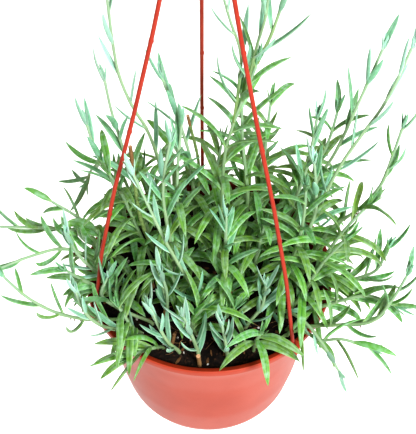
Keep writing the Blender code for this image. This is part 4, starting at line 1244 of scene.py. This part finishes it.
@dataclass
class PlantPlan:
    """The rule that sets the route of every stem and the place of every leaf."""

    pot: HangingPot
    hanger: Hanger
    soil_depth: float = 9.0
    root_depth: float = 6.0
    root_rise: float = 2.0
    stem_radius: float = 1.25
    stem_taper: float = 0.62
    stem_step: float = 20.0
    clearance: float = 0.5
    near: float = 16.0
    pot_lift: float = 0.8
    stem_gap: float = 1.2
    sweeps: int = 240
    renew_every: int = 12
    push_share: float = 0.45
    longest_move: float = 1.5
    pot_checks: tuple = (0, 1 / 3, 2 / 3)
    golden_angle: float = 137.5
    curved_rings: tuple = (0.0, 0.3, 0.64)
    straight_rings: tuple = (0.0, 0.42)
    curved_from: float = 72.0
    # A solid blade's width: its size, how it rises from the root and how it falls to the tip
    blade: tuple = (3.24, 0.8, 0.9)
    petiole: float = 0.24
    tip_shorter: float = 0.3
    last_leaf: float = 0.985
    turn_draw: float = 12.0
    spread_draw: float = 5.0
    bend_draw: float = 8.0
    length_draw: float = 0.12
    least_opening: float = 8.0
    tries: int = 26
    swing: float = 26.0
    random_from: int = 14
    # The attempt from which a leaf is made smaller, and its size
    smaller: tuple = ((0, 1.0), (8, 0.85), (18, 0.7))
    # What a leaf does that has hardly any room to bend: its least turn inward and its curl outward
    least_inward: float = 0.2
    curl: float = 0.4
    capsule_size: float = 0.31
    capsule_least: float = 0.3
    capsule_aside: float = 0.22
    sample_step: float = 2.0

    def __post_init__(self) -> None:
        """Sets the stems' names and the pot's outline."""
        self.names = list(dict.fromkeys(shoot.stem for shoot in SHOOTS))
        pot, rim, depth = self.pot, self.pot.rim_radius, self.soil_depth
        inner = [(0.0, -depth), (pot.inner(depth), -depth), (pot.inner(0), 0.0)]
        outer = [(rim, 0.0), (rim, -pot.lip_height), *((radius, -down) for down, radius in pot.bowl)]
        self.outline = np.array(inner + outer + [(pot.base_radius, -pot.height), (0.0, -pot.height)])

    def pot_distance(self, points: np.ndarray) -> np.ndarray:
        """Measures how far points lie from the pot and its soil.

        Args:
            points: The points.

        Returns:
            The distance of each, less than nothing inside them.
        """
        flat = np.stack([np.hypot(points[:, 0], points[:, 1]), points[:, 2]], axis=1)
        outline = self.outline
        start, along = outline[:-1], np.diff(outline, axis=0)
        offset = flat[:, None] - start[None]
        share = np.clip((offset * along).sum(-1) / (along**2).sum(-1), 0, 1)
        nearest = np.linalg.norm(offset - share[..., None] * along, axis=-1).min(axis=1)
        crossings = np.zeros(len(flat), int)
        for first, second in zip(outline, np.roll(outline, -1, axis=0)):
            spans = (first[1] > flat[:, 1]) != (second[1] > flat[:, 1])
            rise = second[1] - first[1] or 1.0
            edge = first[0] + (flat[:, 1] - first[1]) * (second[0] - first[0]) / rise
            crossings += spans & (flat[:, 0] < edge)
        return np.where(crossings % 2 == 1, -nearest, nearest)

    def stem_radii(self, count: int) -> np.ndarray:
        """Returns a stem's radius at each of its points."""
        return self.stem_radius * np.linspace(1, self.stem_taper, count)

    def fixed(self) -> Capsules:
        """Returns the hanger's arms and the ears."""
        found = Capsules(self.clearance)
        pot, hanger = self.pot, self.hanger
        for which in ARMS:
            line = smooth_route(hanger.route(which.angle), hanger.step)
            found.add(line, np.full(len(line), hanger.radius * hanger.nub_swell), -1)
            ends = (-hanger.foot_drop, pot.ear_proud)
            ear = np.array([around(which.angle, pot.ear_reach, height) for height in ends])
            found.add(ear, np.full(2, pot.ear_radius), -1)
        return found

    def near_pairs(self, starts: np.ndarray, ends: np.ndarray, owner: np.ndarray, moving: int) -> tuple:
        """Finds the segments of different stems that lie near each other.

        Args:
            starts: Where the segments start.
            ends: Where they end.
            owner: The number of each one's stem.
            moving: How many of them may move, from the first on.

        Returns:
            The numbers of both segments of each pair.
        """
        middle = (starts + ends) / 2
        half = np.linalg.norm(ends - starts, axis=1) / 2
        apart = np.linalg.norm(middle[:moving, None] - middle[None], axis=-1)
        near = (apart < half[:moving, None] + half[None] + self.near) & (owner[:moving, None] != owner[None])
        return np.nonzero(near)

    def bend_clear(
        self, shoots: list[Shoot], lines: list, held: int, fixed: Capsules
    ) -> dict[Shoot, np.ndarray]:
        """Pushes lines of different stems apart, with their roots held.

        Args:
            shoots: The shoots.
            lines: The points of each.
            held: How many points of each line stay.
            fixed: What the lines also keep clear of.

        Returns:
            The moved line of each shoot.
        """
        sizes = [len(line) for line in lines]
        points = np.vstack(lines)
        first = np.concatenate([[0], np.cumsum(sizes)[:-1]])
        at = np.concatenate([np.arange(start, start + size - 1) for start, size in zip(first, sizes)])
        owners = [np.full(size - 1, self.names.index(shoot.stem)) for shoot, size in zip(shoots, sizes)]
        owner = np.concatenate([*owners, fixed.owner])
        radius = np.concatenate([self.stem_radii(size)[:-1] for size in sizes] + [fixed.radius])
        loose = np.ones(len(points))
        for start, size in zip(first, sizes):
            loose[start : start + min(held, size)] = 0
        for sweep in range(self.sweeps):
            starts = np.vstack([points[at], fixed.start])
            ends = np.vstack([points[at + 1], fixed.end])
            if sweep % self.renew_every == 0:
                one, other = self.near_pairs(starts, ends, owner, len(at))
            begin, finish = starts[: len(at)], ends[: len(at)]
            over = self.pot_distance(np.vstack([begin * (1 - t) + finish * t for t in self.pot_checks]))
            low = over.reshape(3, -1).min(axis=0) < self.stem_radius + 2 * self.clearance
            vector, share, _ = closest(starts[one], ends[one], starts[other], ends[other])
            gap = np.linalg.norm(vector, axis=-1)
            short = np.maximum(radius[one] + radius[other] + self.stem_gap - gap, 0)
            low &= (loose[at] + loose[at + 1]) > 1
            if short.max(initial=0) <= 0 and not low.any():
                break
            push = vector / np.maximum(gap, 1e-6)[:, None] * short[:, None] * self.push_share
            moves = np.zeros_like(points)
            np.add.at(moves, at[one], push * (1 - share)[:, None])
            np.add.at(moves, at[one] + 1, push * share[:, None])
            np.add.at(moves, at[low] + 1, (0, 0, self.pot_lift))
            points += np.clip(moves, -self.longest_move, self.longest_move) * loose[:, None]
        return {shoot: points[start : start + size] for shoot, start, size in zip(shoots, first, sizes)}

    def stems(self) -> dict[Shoot, np.ndarray]:
        """Returns the line of each shoot, clear of the others."""
        standing = [shoot for shoot in SHOOTS if not shoot.fork]
        routes = []
        for shoot in standing:
            (x, y), *rest = shoot.route
            above = smooth_route([(x, y, self.root_rise - self.soil_depth), *rest], self.stem_step)
            routes.append(np.vstack([[(x, y, -self.soil_depth - self.root_depth)], above]))
        placed = self.fixed()
        lines = self.bend_clear(standing, routes, 2, placed)
        for shoot, line in lines.items():
            placed.add(line, self.stem_radii(len(line)), self.names.index(shoot.stem))
        forks, routes = [shoot for shoot in SHOOTS if shoot.fork], []
        for shoot in forks:
            parent = next(line for other, line in lines.items() if other.stem == shoot.stem)
            base = parent[round(shoot.fork * (len(parent) - 1))]
            routes.append(smooth_route([base, *shoot.route], self.stem_step))
        return {**lines, **self.bend_clear(forks, routes, 1, placed)}

    def make_leaf(
        self,
        base: np.ndarray,
        forward: np.ndarray,
        azimuth: float,
        spread: float,
        bend: float,
        length: float,
        width: float,
    ) -> Leaf:
        """Sets a leaf on its stem, from where it arches down or hooks up.

        Args:
            base: The root, on the stem's middle line.
            forward: The stem's direction there.
            azimuth: The turn round the stem in degrees.
            spread: The angle from the stem in degrees.
            bend: The whole bend in degrees, down if it is plus.
            length: The length in millimetres.
            width: The width in millimetres.

        Returns:
            The leaf.
        """
        azimuth, spread, bend = math.radians(azimuth), math.radians(spread), math.radians(bend)
        level = np.array([1.0, 0, 0]) if abs(forward[0]) < 0.75 else np.array([0, 0, 1.0])
        right = unit(level - forward * forward.dot(level))
        outward = right * math.cos(azimuth) + np.cross(forward, right) * math.sin(azimuth)
        ahead = forward * math.cos(spread) + outward * math.sin(spread)
        side = unit(np.cross(outward, forward))
        target = np.array([0, 0, -1.0 if bend > 0 else 1.0])
        inward = target - ahead * ahead.dot(target)
        turn = min(abs(bend), math.acos(np.clip(ahead.dot(target), -1, 1)))
        # A leaf that already points straight up or down curls a little outward instead
        if np.linalg.norm(inward) < self.least_inward:
            inward, turn = outward - ahead * ahead.dot(outward), abs(bend) * self.curl
        return Leaf(base, ahead, unit(inward), turn, side, length, width)

    def chains(self, leaf: Leaf) -> tuple[np.ndarray, np.ndarray, np.ndarray]:
        """Returns two rows of rods, left and right of a leaf's middle, and their radii."""
        rings = self.curved_rings if leaf.bend > math.radians(self.curved_from) else self.straight_rings
        shares = np.array([*rings, 1.0])
        middle = np.array([leaf.point(t) for t in shares])
        across = np.array([leaf.frame(t)[1] for t in shares])
        size, rise, fall = self.blade
        blade = [size * t**rise * (1 - t) ** fall + self.petiole * (1 - t) for t in shares]
        widths = leaf.width * np.array(blade)
        radii = np.maximum(self.capsule_size * widths, self.capsule_least)
        offset = across * (self.capsule_aside * widths)[:, None]
        return middle + offset, middle - offset, radii

    def close_points(self, line: np.ndarray) -> np.ndarray:
        """Returns points a small step apart along straight runs between the given ones."""
        runs = []
        for start, end in zip(line, line[1:]):
            count = max(2, round(np.linalg.norm(end - start) / self.sample_step))
            runs.append(start + (end - start) * np.linspace(0, 1, count)[:, None])
        return np.vstack(runs)

    def has_room(self, leaf: Leaf, owner: int, obstacles: Capsules) -> bool:
        """Tests a leaf against the pot, the hanger, the other stems and its own stem's leaves.

        Args:
            leaf: The leaf.
            owner: The number of its stem.
            obstacles: What is already there.

        Returns:
            Whether the leaf clears them all.
        """
        *lines, radii = self.chains(leaf)
        others = obstacles.owner != owner
        for line in lines:
            if (self.pot_distance(self.close_points(line)) < radii.max() + self.clearance).any():
                return False
            if not obstacles.clear_of(line, radii, others):
                return False
            if not obstacles.clear_of(line[1:], radii[1:] - self.clearance, ~others & ~obstacles.root):
                return False
        return True

    def ways(self, draw: random.Random) -> Iterator[tuple[float, float, float]]:
        """Yields turns round the stem, changes of spread and lengths to try for one leaf."""
        for attempt in range(self.tries):
            swing = (attempt + 1) // 2 * self.swing * (-1) ** attempt
            if attempt >= self.random_from:
                swing = draw.uniform(-180, 180)
            size = [size for start, size in self.smaller if attempt >= start][-1]
            yield swing, draw.uniform(-1, 1) * attempt, size

    def fit(
        self,
        wish: Wish,
        owner: int,
        obstacles: Capsules,
        draw: random.Random,
        limits: tuple[float, float],
        allowed: Callable[[Leaf], bool],
    ) -> list[GrownLeaf]:
        """Turns, opens and shortens a leaf until it finds room, and adds it to what is there.

        Args:
            wish: How the leaf would grow.
            owner: The number of its stem.
            obstacles: What is already there.
            draw: Where its random numbers come from.
            limits: The least spread in degrees, and how freely the spread changes.
            allowed: A further test of the leaf.

        Returns:
            The leaf in a list, or an empty list.
        """
        least, freedom = limits
        for swing, wider, size in self.ways(draw):
            spread = max(least, wish.spread + freedom * wider)
            turn, length = wish.turn + swing, wish.length * size
            leaf = self.make_leaf(wish.base, wish.forward, turn, spread, wish.bend, length, wish.width)
            if allowed(leaf) and self.has_room(leaf, owner, obstacles):
                *lines, radii = self.chains(leaf)
                for line in lines:
                    obstacles.add(line, radii, owner, rooted=True)
                return [GrownLeaf(leaf, wish.ripe)]
        return []

    def seat(self, line: np.ndarray, run: np.ndarray, place: float) -> tuple[np.ndarray, np.ndarray]:
        """Returns the point at a place along a stem, and the stem's direction there."""
        index = min(int(np.searchsorted(run, place)), len(line) - 1)
        return spot_at(line, run, place), unit(line[index] - line[index - 1])

    def leaves(self, lines: dict[Shoot, np.ndarray]) -> tuple[dict[str, list[GrownLeaf]], Capsules]:
        """Places every leaf that finds room, by the same rule on each shoot.

        Args:
            lines: The line of each shoot.

        Returns:
            The leaves of each stem, and what they and the stems take up.
        """
        draw = random.Random(SEED)
        obstacles = self.fixed()
        for shoot, line in lines.items():
            obstacles.add(line, self.stem_radii(len(line)), self.names.index(shoot.stem))
        found: dict[str, list[GrownLeaf]] = {name: [] for name in self.names}
        for shoot, line in lines.items():
            habit, run = shoot.habit, distances(line)
            for number in range(shoot.leaves):
                share = number / (shoot.leaves - 1)
                place = run[-1] * blend(habit.bare, self.last_leaf, share)
                turn = shoot.phase + number * self.golden_angle
                turn += draw.uniform(-self.turn_draw, self.turn_draw)
                spread = blend(habit.spread, habit.tip_spread, share)
                spread += draw.uniform(-self.spread_draw, self.spread_draw)
                bend = blend(habit.bend, habit.tip_bend, share)
                bend += draw.uniform(-self.bend_draw, self.bend_draw)
                length = shoot.length * (1 - self.tip_shorter * share)
                length *= draw.uniform(1 - self.length_draw, 1 + self.length_draw)
                width = blend(habit.width, habit.tip_width, share)
                ripe = blend(habit.ripe, habit.tip_ripe, share)
                wish = Wish(*self.seat(line, run, place), turn, spread, bend, length, width, ripe)
                owner, limits = self.names.index(shoot.stem), (self.least_opening, 1.0)
                found[shoot.stem] += self.fit(wish, owner, obstacles, draw, limits, lambda leaf: True)
        return found, obstacles


@dataclass
class Undergrowth:
    """The leaves between the planned ones, which the solids leave out for their number."""

    plan: PlantPlan
    low: np.ndarray
    high: np.ndarray
    inner_step: float = 7.5
    outer_step: float = 34.0
    clearance: float = 0.0
    lowest: float = 0.03
    highest: float = 0.9
    inner_height: float = 62.0
    inner_radius: float = 70.0
    front_edge: float = -50.0
    least_length: float = 38.0
    narrower: float = 0.94
    bend_freedom: float = 1.5
    lengths: tuple = (0.92, 1.12)
    limits: tuple = (10.0, 1.5)

    def in_reach(self, leaf: Leaf) -> bool:
        """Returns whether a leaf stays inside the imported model's box."""
        points = np.array([leaf.point(t) for t in (0.25, 0.5, 0.75, 1.0)])
        return bool((points > self.low).all() and (points < self.high).all())

    def is_inner(self, spot: np.ndarray) -> bool:
        """Returns whether a spot lies low over the soil, where the leaves are long and old."""
        return bool(spot[2] < self.inner_height and math.hypot(spot[0], spot[1]) < self.inner_radius)

    def places(self, line: np.ndarray) -> Iterator[float]:
        """Yields the shares of a shoot's length where new leaves may grow, closer together low down."""
        run = distances(line)
        place = self.lowest
        while place < self.highest:
            yield place
            inner = self.is_inner(spot_at(line, run, place * run[-1]))
            place += (self.inner_step if inner else self.outer_step) / run[-1]

    def grow(self, lines: dict[Shoot, np.ndarray], leaves: dict, obstacles: Capsules) -> int:
        """Adds the leaves that find room to those of each stem.

        Args:
            lines: The line of each shoot.
            leaves: The planned leaves of each stem, which the new ones join.
            obstacles: What the stems and planned leaves take up.

        Returns:
            How many leaves it added.
        """
        plan = self.plan
        draw = random.Random(SEED + 11)
        obstacles.clearance = self.clearance
        added = 0
        for shoot, line in lines.items():
            if shoot.habit is YOUNG or line[0][1] < self.front_edge:
                continue
            run = distances(line)
            for number, share in enumerate(self.places(line)):
                base, forward = plan.seat(line, run, run[-1] * share)
                habit, longest = shoot.habit, shoot.length
                if self.is_inner(base):
                    habit, longest = ARCHING, max(shoot.length, self.least_length)
                turn = shoot.phase + (number + 0.5) * plan.golden_angle
                spread = blend(habit.spread, habit.tip_spread, share)
                bend = blend(habit.bend, habit.tip_bend, share)
                bend += draw.uniform(-self.bend_freedom, self.bend_freedom) * plan.bend_draw
                length = longest * (1 - plan.tip_shorter * share) * draw.uniform(*self.lengths)
                width = self.narrower * blend(habit.width, habit.tip_width, share)
                ripe = blend(habit.ripe, habit.tip_ripe, share)
                wish = Wish(base, forward, turn, spread, bend, length, width, ripe)
                owner = plan.names.index(shoot.stem)
                new = plan.fit(wish, owner, obstacles, draw, self.limits, self.in_reach)
                leaves[shoot.stem] += new
                added += len(new)
        return added


# How the plant looks


@dataclass
class LeafMould:
    """The form that all leaves share: a strap with a shallow channel above and a soft keel below.

    The section's points are shares of the width, and edges tells how near the margin each one is.
    """

    shares: tuple = (0.0, 0.05, 0.11, 0.18, 0.27, 0.37, 0.48, 0.59, 0.69, 0.78, 0.86, 0.92, 0.965, 0.99)
    section: tuple = (
        (-0.5, 0.0), (-0.4, 0.1), (-0.14, 0.1), (0.0, 0.03), (0.14, 0.1), (0.4, 0.1),
        (0.5, 0.0), (0.38, -0.16), (0.18, -0.25), (0.0, -0.28), (-0.18, -0.25), (-0.38, -0.16),
    )
    edges: tuple = (1.0, 0.78, 0.35, 0.0, 0.35, 0.78, 1.0, 0.7, 0.5, 0.4, 0.5, 0.7)
    fullness: float = 1.06
    neck: float = 0.45
    neck_share: float = 0.26
    point_from: float = 0.45
    point_share: float = 0.55
    point_form: tuple = (2.2, 0.85)
    thick_root: float = 0.9
    thick_share: float = 0.25
    twist: float = 16.0
    wave: float = 0.45
    wave_turn: float = 5.0
    wave_grown: float = 0.5
    ripe_draw: float = 0.12
    grain_apart: float = 50.0

    def __post_init__(self) -> None:
        """Works out the faces, which every leaf shares."""
        sides, rings = len(self.section), len(self.shares)
        last, tip = (rings - 1) * sides, rings * sides
        cap = [(last + side, tip, last + (side + 1) % sides) for side in range(sides)]
        self.faces = [tuple(range(sides)), *quads(rings, sides), *cap]

    def width(self, t: np.ndarray) -> np.ndarray:
        """Returns the width at shares of the length: a narrow neck, a strap and a long point."""
        rise = self.neck + (1 - self.neck) * ease(t / self.neck_share)
        sharp, blunt = self.point_form
        fall = np.clip(1 - np.clip((t - self.point_from) / self.point_share, 0, 1) ** sharp, 0, 1) ** blunt
        return self.fullness * rise * fall

    def cast(self, grown: GrownLeaf, seed: int) -> tuple[np.ndarray, list, np.ndarray, np.ndarray]:
        """Shapes one leaf.

        Args:
            grown: The leaf's place and size.
            seed: The seed of its own small turns and waves.

        Returns:
            Its points, faces, marks and grain.
        """
        draw = random.Random(seed)
        leaf = grown.leaf
        twist = math.radians(draw.uniform(-self.twist, self.twist))
        wave, phase = self.wave * draw.uniform(-1, 1), draw.uniform(0, 6.28)
        tone = draw.random()
        flat, shares = np.array(self.section), np.array(self.shares)
        thick = 1 + self.thick_root * (1 - ease(shares / self.thick_share))
        rows = []
        for t, width, deep in zip(self.shares, self.width(shares), thick):
            _, across, face = leaf.frame(t)
            turn = twist * t
            side = across * math.cos(turn) + face * math.sin(turn)
            up = face * math.cos(turn) - across * math.sin(turn)
            swing, grown_in = math.sin(phase + self.wave_turn * t), ease(t / self.wave_grown)
            middle = leaf.point(t) + side * wave * swing * grown_in
            size = leaf.width * width
            rows.append(middle + side * flat[:, :1] * size + up * flat[:, 1:] * size * deep)
        tip = leaf.point(1.0) + side * wave * math.sin(phase + self.wave_turn)
        points = np.vstack([*rows, tip[None]])
        count = len(points)
        along = np.concatenate([np.repeat(self.shares, len(flat)), [1.0]])
        edge = np.concatenate([np.tile(self.edges, len(shares)), [1.0]])
        across_mm = np.concatenate([np.tile(flat[:, 0], len(shares)) * leaf.width, [0.0]])
        ripe = np.full(count, grown.ripe + draw.uniform(-self.ripe_draw, self.ripe_draw))
        marks = np.stack([along, edge, np.full(count, tone), np.clip(ripe, 0, 1)], axis=1)
        # The third number sets each leaf's patterns apart from the next one's
        apart = np.full(count, self.grain_apart * draw.random())
        grain = np.stack([along * leaf.length, across_mm, apart], axis=1)
        return points, self.faces, marks, grain


@dataclass
class LeafyStems:
    """Every stem of the plant with its leaves, one piece for each solid node."""

    plan: PlantPlan
    mould: LeafMould
    reach: tuple
    others: tuple = ()
    sides: int = 10
    step: float = 3.0
    joint_swell: float = 0.16
    joint_length: float = 2.4
    tip_size: float = 0.4
    bloomed_tip: float = 0.55
    fork_size: float = 0.8
    inset: float = 0.01
    bud_leaves: int = 4
    bud_drop: float = 2.2
    bud_step: float = 0.5
    bud_turn: float = 40.0
    bud_spread: tuple = (12, 24)
    bud_closing: float = 3.0
    bud_length: tuple = (0.26, 0.4)
    bud_width: tuple = (1.5, 2.2)
    bud_bend: tuple = (-24, -4)
    bud_greener: float = -0.2
    rootlet_count: int = 4
    rootlet_gap: float = 3.1
    rootlet_from: tuple = (0.45, 0.6)
    rootlet_lean: tuple = (-0.35, 0.35)
    rootlet_length: tuple = (3.2, 5.0)
    rootlet_radius: float = 0.42
    rootlet_sides: int = 6
    # Shares of a rootlet's length, and its thickness at each
    rootlet_form: tuple = ((0.0, 0.35, 0.7, 1.0), (1.2, 1.0, 0.8, 0.45))

    def stalk(self, line: np.ndarray, joints: Iterable[np.ndarray], size: float) -> tuple:
        """Shapes one shoot's stem, a little swollen where leaves grow from it.

        Args:
            line: The shoot's planned line.
            joints: The leaves' roots.
            size: Its thickness beside a main stem's.

        Returns:
            Its points, faces, marks and grain.
        """
        smooth = smooth_route(line, self.step)
        share = distances(smooth) / distances(smooth)[-1]
        radii = size * self.plan.stem_radius * (1 - (1 - self.plan.stem_taper) * share)
        for joint in joints:
            away = np.linalg.norm(smooth - joint, axis=1)
            radii = radii * (1 + self.joint_swell * np.exp(-((away / self.joint_length) ** 2)))
        radii[-1] *= self.tip_size
        points, faces = tube(smooth, radii, self.sides)
        count = len(points)
        along = np.repeat(share, self.sides)
        turn = np.tile(np.arange(self.sides) / self.sides, len(smooth))
        marks = np.stack([along * self.bloomed_tip, turn, np.full(count, 0.5), np.full(count, 0.5)], axis=1)
        wrap = np.abs(turn - 0.5) * 2 * math.pi * self.plan.stem_radius
        grain = np.stack([along * distances(smooth)[-1], wrap, np.full(count, line[0][0])], axis=1)
        return points, faces, marks, grain

    def rootlets(self, line: np.ndarray, seed: int) -> Iterator[Form]:
        """Yields short dry rootlets on the lower side of a trailing stem."""
        draw = random.Random(seed)
        middle = draw.uniform(*self.rootlet_from)
        run = distances(line)
        shares, sizes = np.array(self.rootlet_form)
        for number in range(self.rootlet_count):
            spot = spot_at(line, run, run[-1] * middle + self.rootlet_gap * number)
            lean = unit(np.array([draw.uniform(*self.rootlet_lean), draw.uniform(*self.rootlet_lean), -1.0]))
            peg = spot + lean * shares[:, None] * draw.uniform(*self.rootlet_length)
            yield tube(peg, self.rootlet_radius * sizes, self.rootlet_sides)

    def buds(self, shoot: Shoot, line: np.ndarray, seed: int) -> Iterator[GrownLeaf]:
        """Yields the few small leaves that close round a shoot's tip."""
        draw = random.Random(seed)
        forward = unit(line[-1] - line[-2])
        for number in range(self.bud_leaves):
            base = line[-1] - forward * (self.bud_drop - self.bud_step * number)
            turn = shoot.phase + self.bud_turn + number * self.plan.golden_angle
            spread = draw.uniform(*self.bud_spread) - self.bud_closing * number
            length = draw.uniform(*self.bud_length) * shoot.length
            width, bend = draw.uniform(*self.bud_width), draw.uniform(*self.bud_bend)
            leaf = self.plan.make_leaf(base, forward, turn, spread, bend, length, width)
            yield GrownLeaf(leaf, max(0.0, shoot.habit.tip_ripe + self.bud_greener))

    def grown(self, low: np.ndarray, high: np.ndarray) -> tuple[dict, dict]:
        """Grows the plant.

        Args:
            low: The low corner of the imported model's box, in millimetres from the rim's centre.
            high: Its high corner.

        Returns:
            The line of each shoot, and the leaves of each stem.
        """
        lines = self.plan.stems()
        leaves, obstacles = self.plan.leaves(lines)
        for stub in self.others:
            line = smooth_route(stub.route, 2 * self.step)
            obstacles.add(line, np.full(len(line), stub.radius + self.plan.clearance), len(self.plan.names))
        more = Undergrowth(self.plan, low + 1, high - 1).grow(lines, leaves, obstacles)
        LOG.info("leaves between the planned ones: %d", more)
        return lines, leaves

    def build(self) -> None:
        """Builds the stems in the order of the plan."""
        rinds = {
            Slot.YOUNG: StemRind("stem rind, bloomed", "#A3BE86", "#7A935C").build(),
            Slot.MATURE: StemRind("stem rind, green", "#8CAA64", "#5C7A3C").build(),
        }
        skins = {
            Slot.YOUNG: WaxyLeafSkin("waxy leaf skin, young").build(),
            Slot.MATURE: WaxyLeafSkin("waxy leaf skin, mature", 0.04).build(),
        }
        rootlet = LooseGrit("dry rootlet", "#5A3A24", "#A57C56", 0.8).build()
        low, high = (np.array(corner) / MM - (0, 0, self.plan.pot.height) for corner in self.reach)
        lines, leaves = self.grown(low, high)
        for order, name in enumerate(self.plan.names):
            shell = Shell()
            shoots = [shoot for shoot in lines if shoot.stem == name]
            slot = shoots[0].habit.slot
            roots = [grown.leaf.base for grown in leaves[name]]
            for number, shoot in enumerate(shoots):
                shell.add(*self.stalk(lines[shoot], roots, self.fork_size if number else 1.0), look=1)
                for bud in self.buds(shoot, lines[shoot], SEED + 31 * order + number):
                    shell.add(*self.mould.cast(bud, SEED + 977 * order + shell.count))
            for number, grown in enumerate(leaves[name]):
                shell.add(*self.mould.cast(grown, SEED + 1009 * order + number))
            finishes = [skins[slot], rinds[slot]]
            if shoots[0].habit is HOOKED:
                finishes.append(rootlet)
                for points, faces in self.rootlets(lines[shoots[0]], SEED + order):
                    shell.add(points, faces, look=2)
            shell.points = [np.clip(points, low + self.inset, high - self.inset) for points in shell.points]
            settle(shell.piece("leafy_stem_" + name, finishes, 60), slot, "stem_" + name)


# The studio


class Light(NamedTuple):
    """A square soft light: its place, the length of its sides, its power, its tint and what it faces."""

    name: str
    place: tuple
    size: float
    watts: float
    tint: str
    aim: tuple = (0.0, 0.0, 0.15)


@dataclass
class Studio:
    """The floor, the soft lights and the camera, in metres, degrees and pixels of the photo."""

    floor_drop: float = 0.7
    floor_size: float = 12.0
    elevation: float = 51.2
    distance: float = 0.687
    aim: tuple = (-0.0007, 0.0, 0.1685)
    roll: float = 0.3
    focal_px: float = 1057.0
    frame_px: float = 434.0
    film: float = 36.0
    near: float = 0.05
    surroundings: str = "#FFF6E4"
    glow: float = 0.4
    lights: tuple = (
        Light("key", (0.58, -1.18, 1.35), 0.5, 42, "#FAFBFF"),
        Light("fill", (-1.3, -0.6, 0.9), 1.2, 0.8, "#F2F7FF"),
        Light("back", (0.4, 1.3, 1.2), 1.0, 3, "#FFFFFF"),
        Light("floor_wash", (0.0, 0.6, -0.1), 2.4, 26, "#F7FAFF", (0.0, 0.6, -0.7)),
    )

    def floor(self) -> None:
        """Lays the pale floor, a little below the pot as it hangs."""
        size = self.floor_size / 2
        mesh = bpy.data.meshes.new("studio_floor")
        corners = [(x * size, y * size, -self.floor_drop) for x, y in ((-1, -1), (1, -1), (1, 1), (-1, 1))]
        mesh.from_pydata(corners, [], [(0, 1, 2, 3)])
        mesh.materials.append(MattPaint().build())
        floor = link("studio_floor", mesh)
        floor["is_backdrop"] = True

    def light(self) -> None:
        """Hangs the lights, and sets the pale surroundings and the picture's contrast."""
        for light in self.lights:
            data = bpy.data.lights.new(light.name, "AREA")
            data.size, data.energy, data.color = light.size, light.watts, srgb(light.tint)[:3]
            lamp = link(light.name, data)
            lamp.location = light.place
            ahead = Vector(light.aim) - Vector(light.place)
            lamp.rotation_euler = ahead.to_track_quat("-Z", "Y").to_euler()
        world = bpy.data.worlds.new("studio surroundings")
        world.use_nodes = True
        fill(world.node_tree.nodes["Background"], {"Color": self.surroundings, "Strength": self.glow})
        bpy.context.scene.world = world
        bpy.context.scene.view_settings.view_transform = "Standard"
        bpy.context.scene.view_settings.look = "Medium High Contrast"

    def camera(self) -> None:
        """Sets the camera at the photo's viewing angle."""
        tilt = math.radians(self.elevation)
        rim = Vector((0, 0, HangingPot.height * MM))
        place = Vector((0, -math.cos(tilt), math.sin(tilt))) * self.distance + rim
        ahead = (Vector(self.aim) - place).normalized()
        turn = ahead.to_track_quat("-Z", "Y").to_matrix() @ Matrix.Rotation(math.radians(self.roll), 3, "Z")
        data = bpy.data.cameras.new("photo_camera")
        data.lens = self.focal_px / self.frame_px * self.film
        data.sensor_width, data.clip_start = self.film, self.near
        camera = link("photo_camera", data)
        camera.matrix_world = Matrix.Translation(place) @ turn.to_4x4()
        bpy.context.scene.camera = camera

    def build(self) -> None:
        """Builds the whole studio."""
        self.floor()
        self.light()
        self.camera()


def plain(box: tuple) -> list[list[float]]:
    """Returns a box as plain lists of numbers."""
    return [[float(value) for value in corner] for corner in box]


def main() -> None:
    """Loads the frame and builds every piece of the plant, the pot and the studio."""
    logging.basicConfig(level=logging.INFO, format="%(message)s")
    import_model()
    before = plain(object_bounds())
    Studio().build()
    satin = MouldedPolypropylene("satin polypropylene, terracotta coral", "#B4462F", "#A83F2A", 0.42, 38)
    # Darker colours for the inside and the lip's top, which are painted shade as cast by the foliage and the
    # pot's walls
    painted_shade = MouldedPolypropylene("unpolished polypropylene, terracotta", "#7C2407", "#661C05", 0.6, 14)
    smooth = MouldedPolypropylene("smooth polypropylene, coral red", "#B03E2E", "#A03426", 0.32, 12)
    pot = HangingPot(satin, painted_shade)
    hanger = Hanger(pot, smooth)
    pot.build([which.angle for which in ARMS])
    hanger.build()
    PottingMix(pot).build()
    dry = LooseGrit("dry stem bark", "#5B3D22", "#B08A5C", 0.9).build()
    pith = LooseGrit("cut stem pith", "#A8714A", "#E2B891", 0.5).build()
    rind = StemRind("stem rind, bare", "#8FA868", "#667E44").build()
    CutStems("cut_stubs", STUBS, dry, dry, pith).build()
    CutStems("bare_stems", BARE_STEMS, rind, dry, pith).build()
    LeafyStems(PlantPlan(pot, hanger), LeafMould(), tuple(before), STUBS + BARE_STEMS).build()


if __name__ == "__main__":
    main()
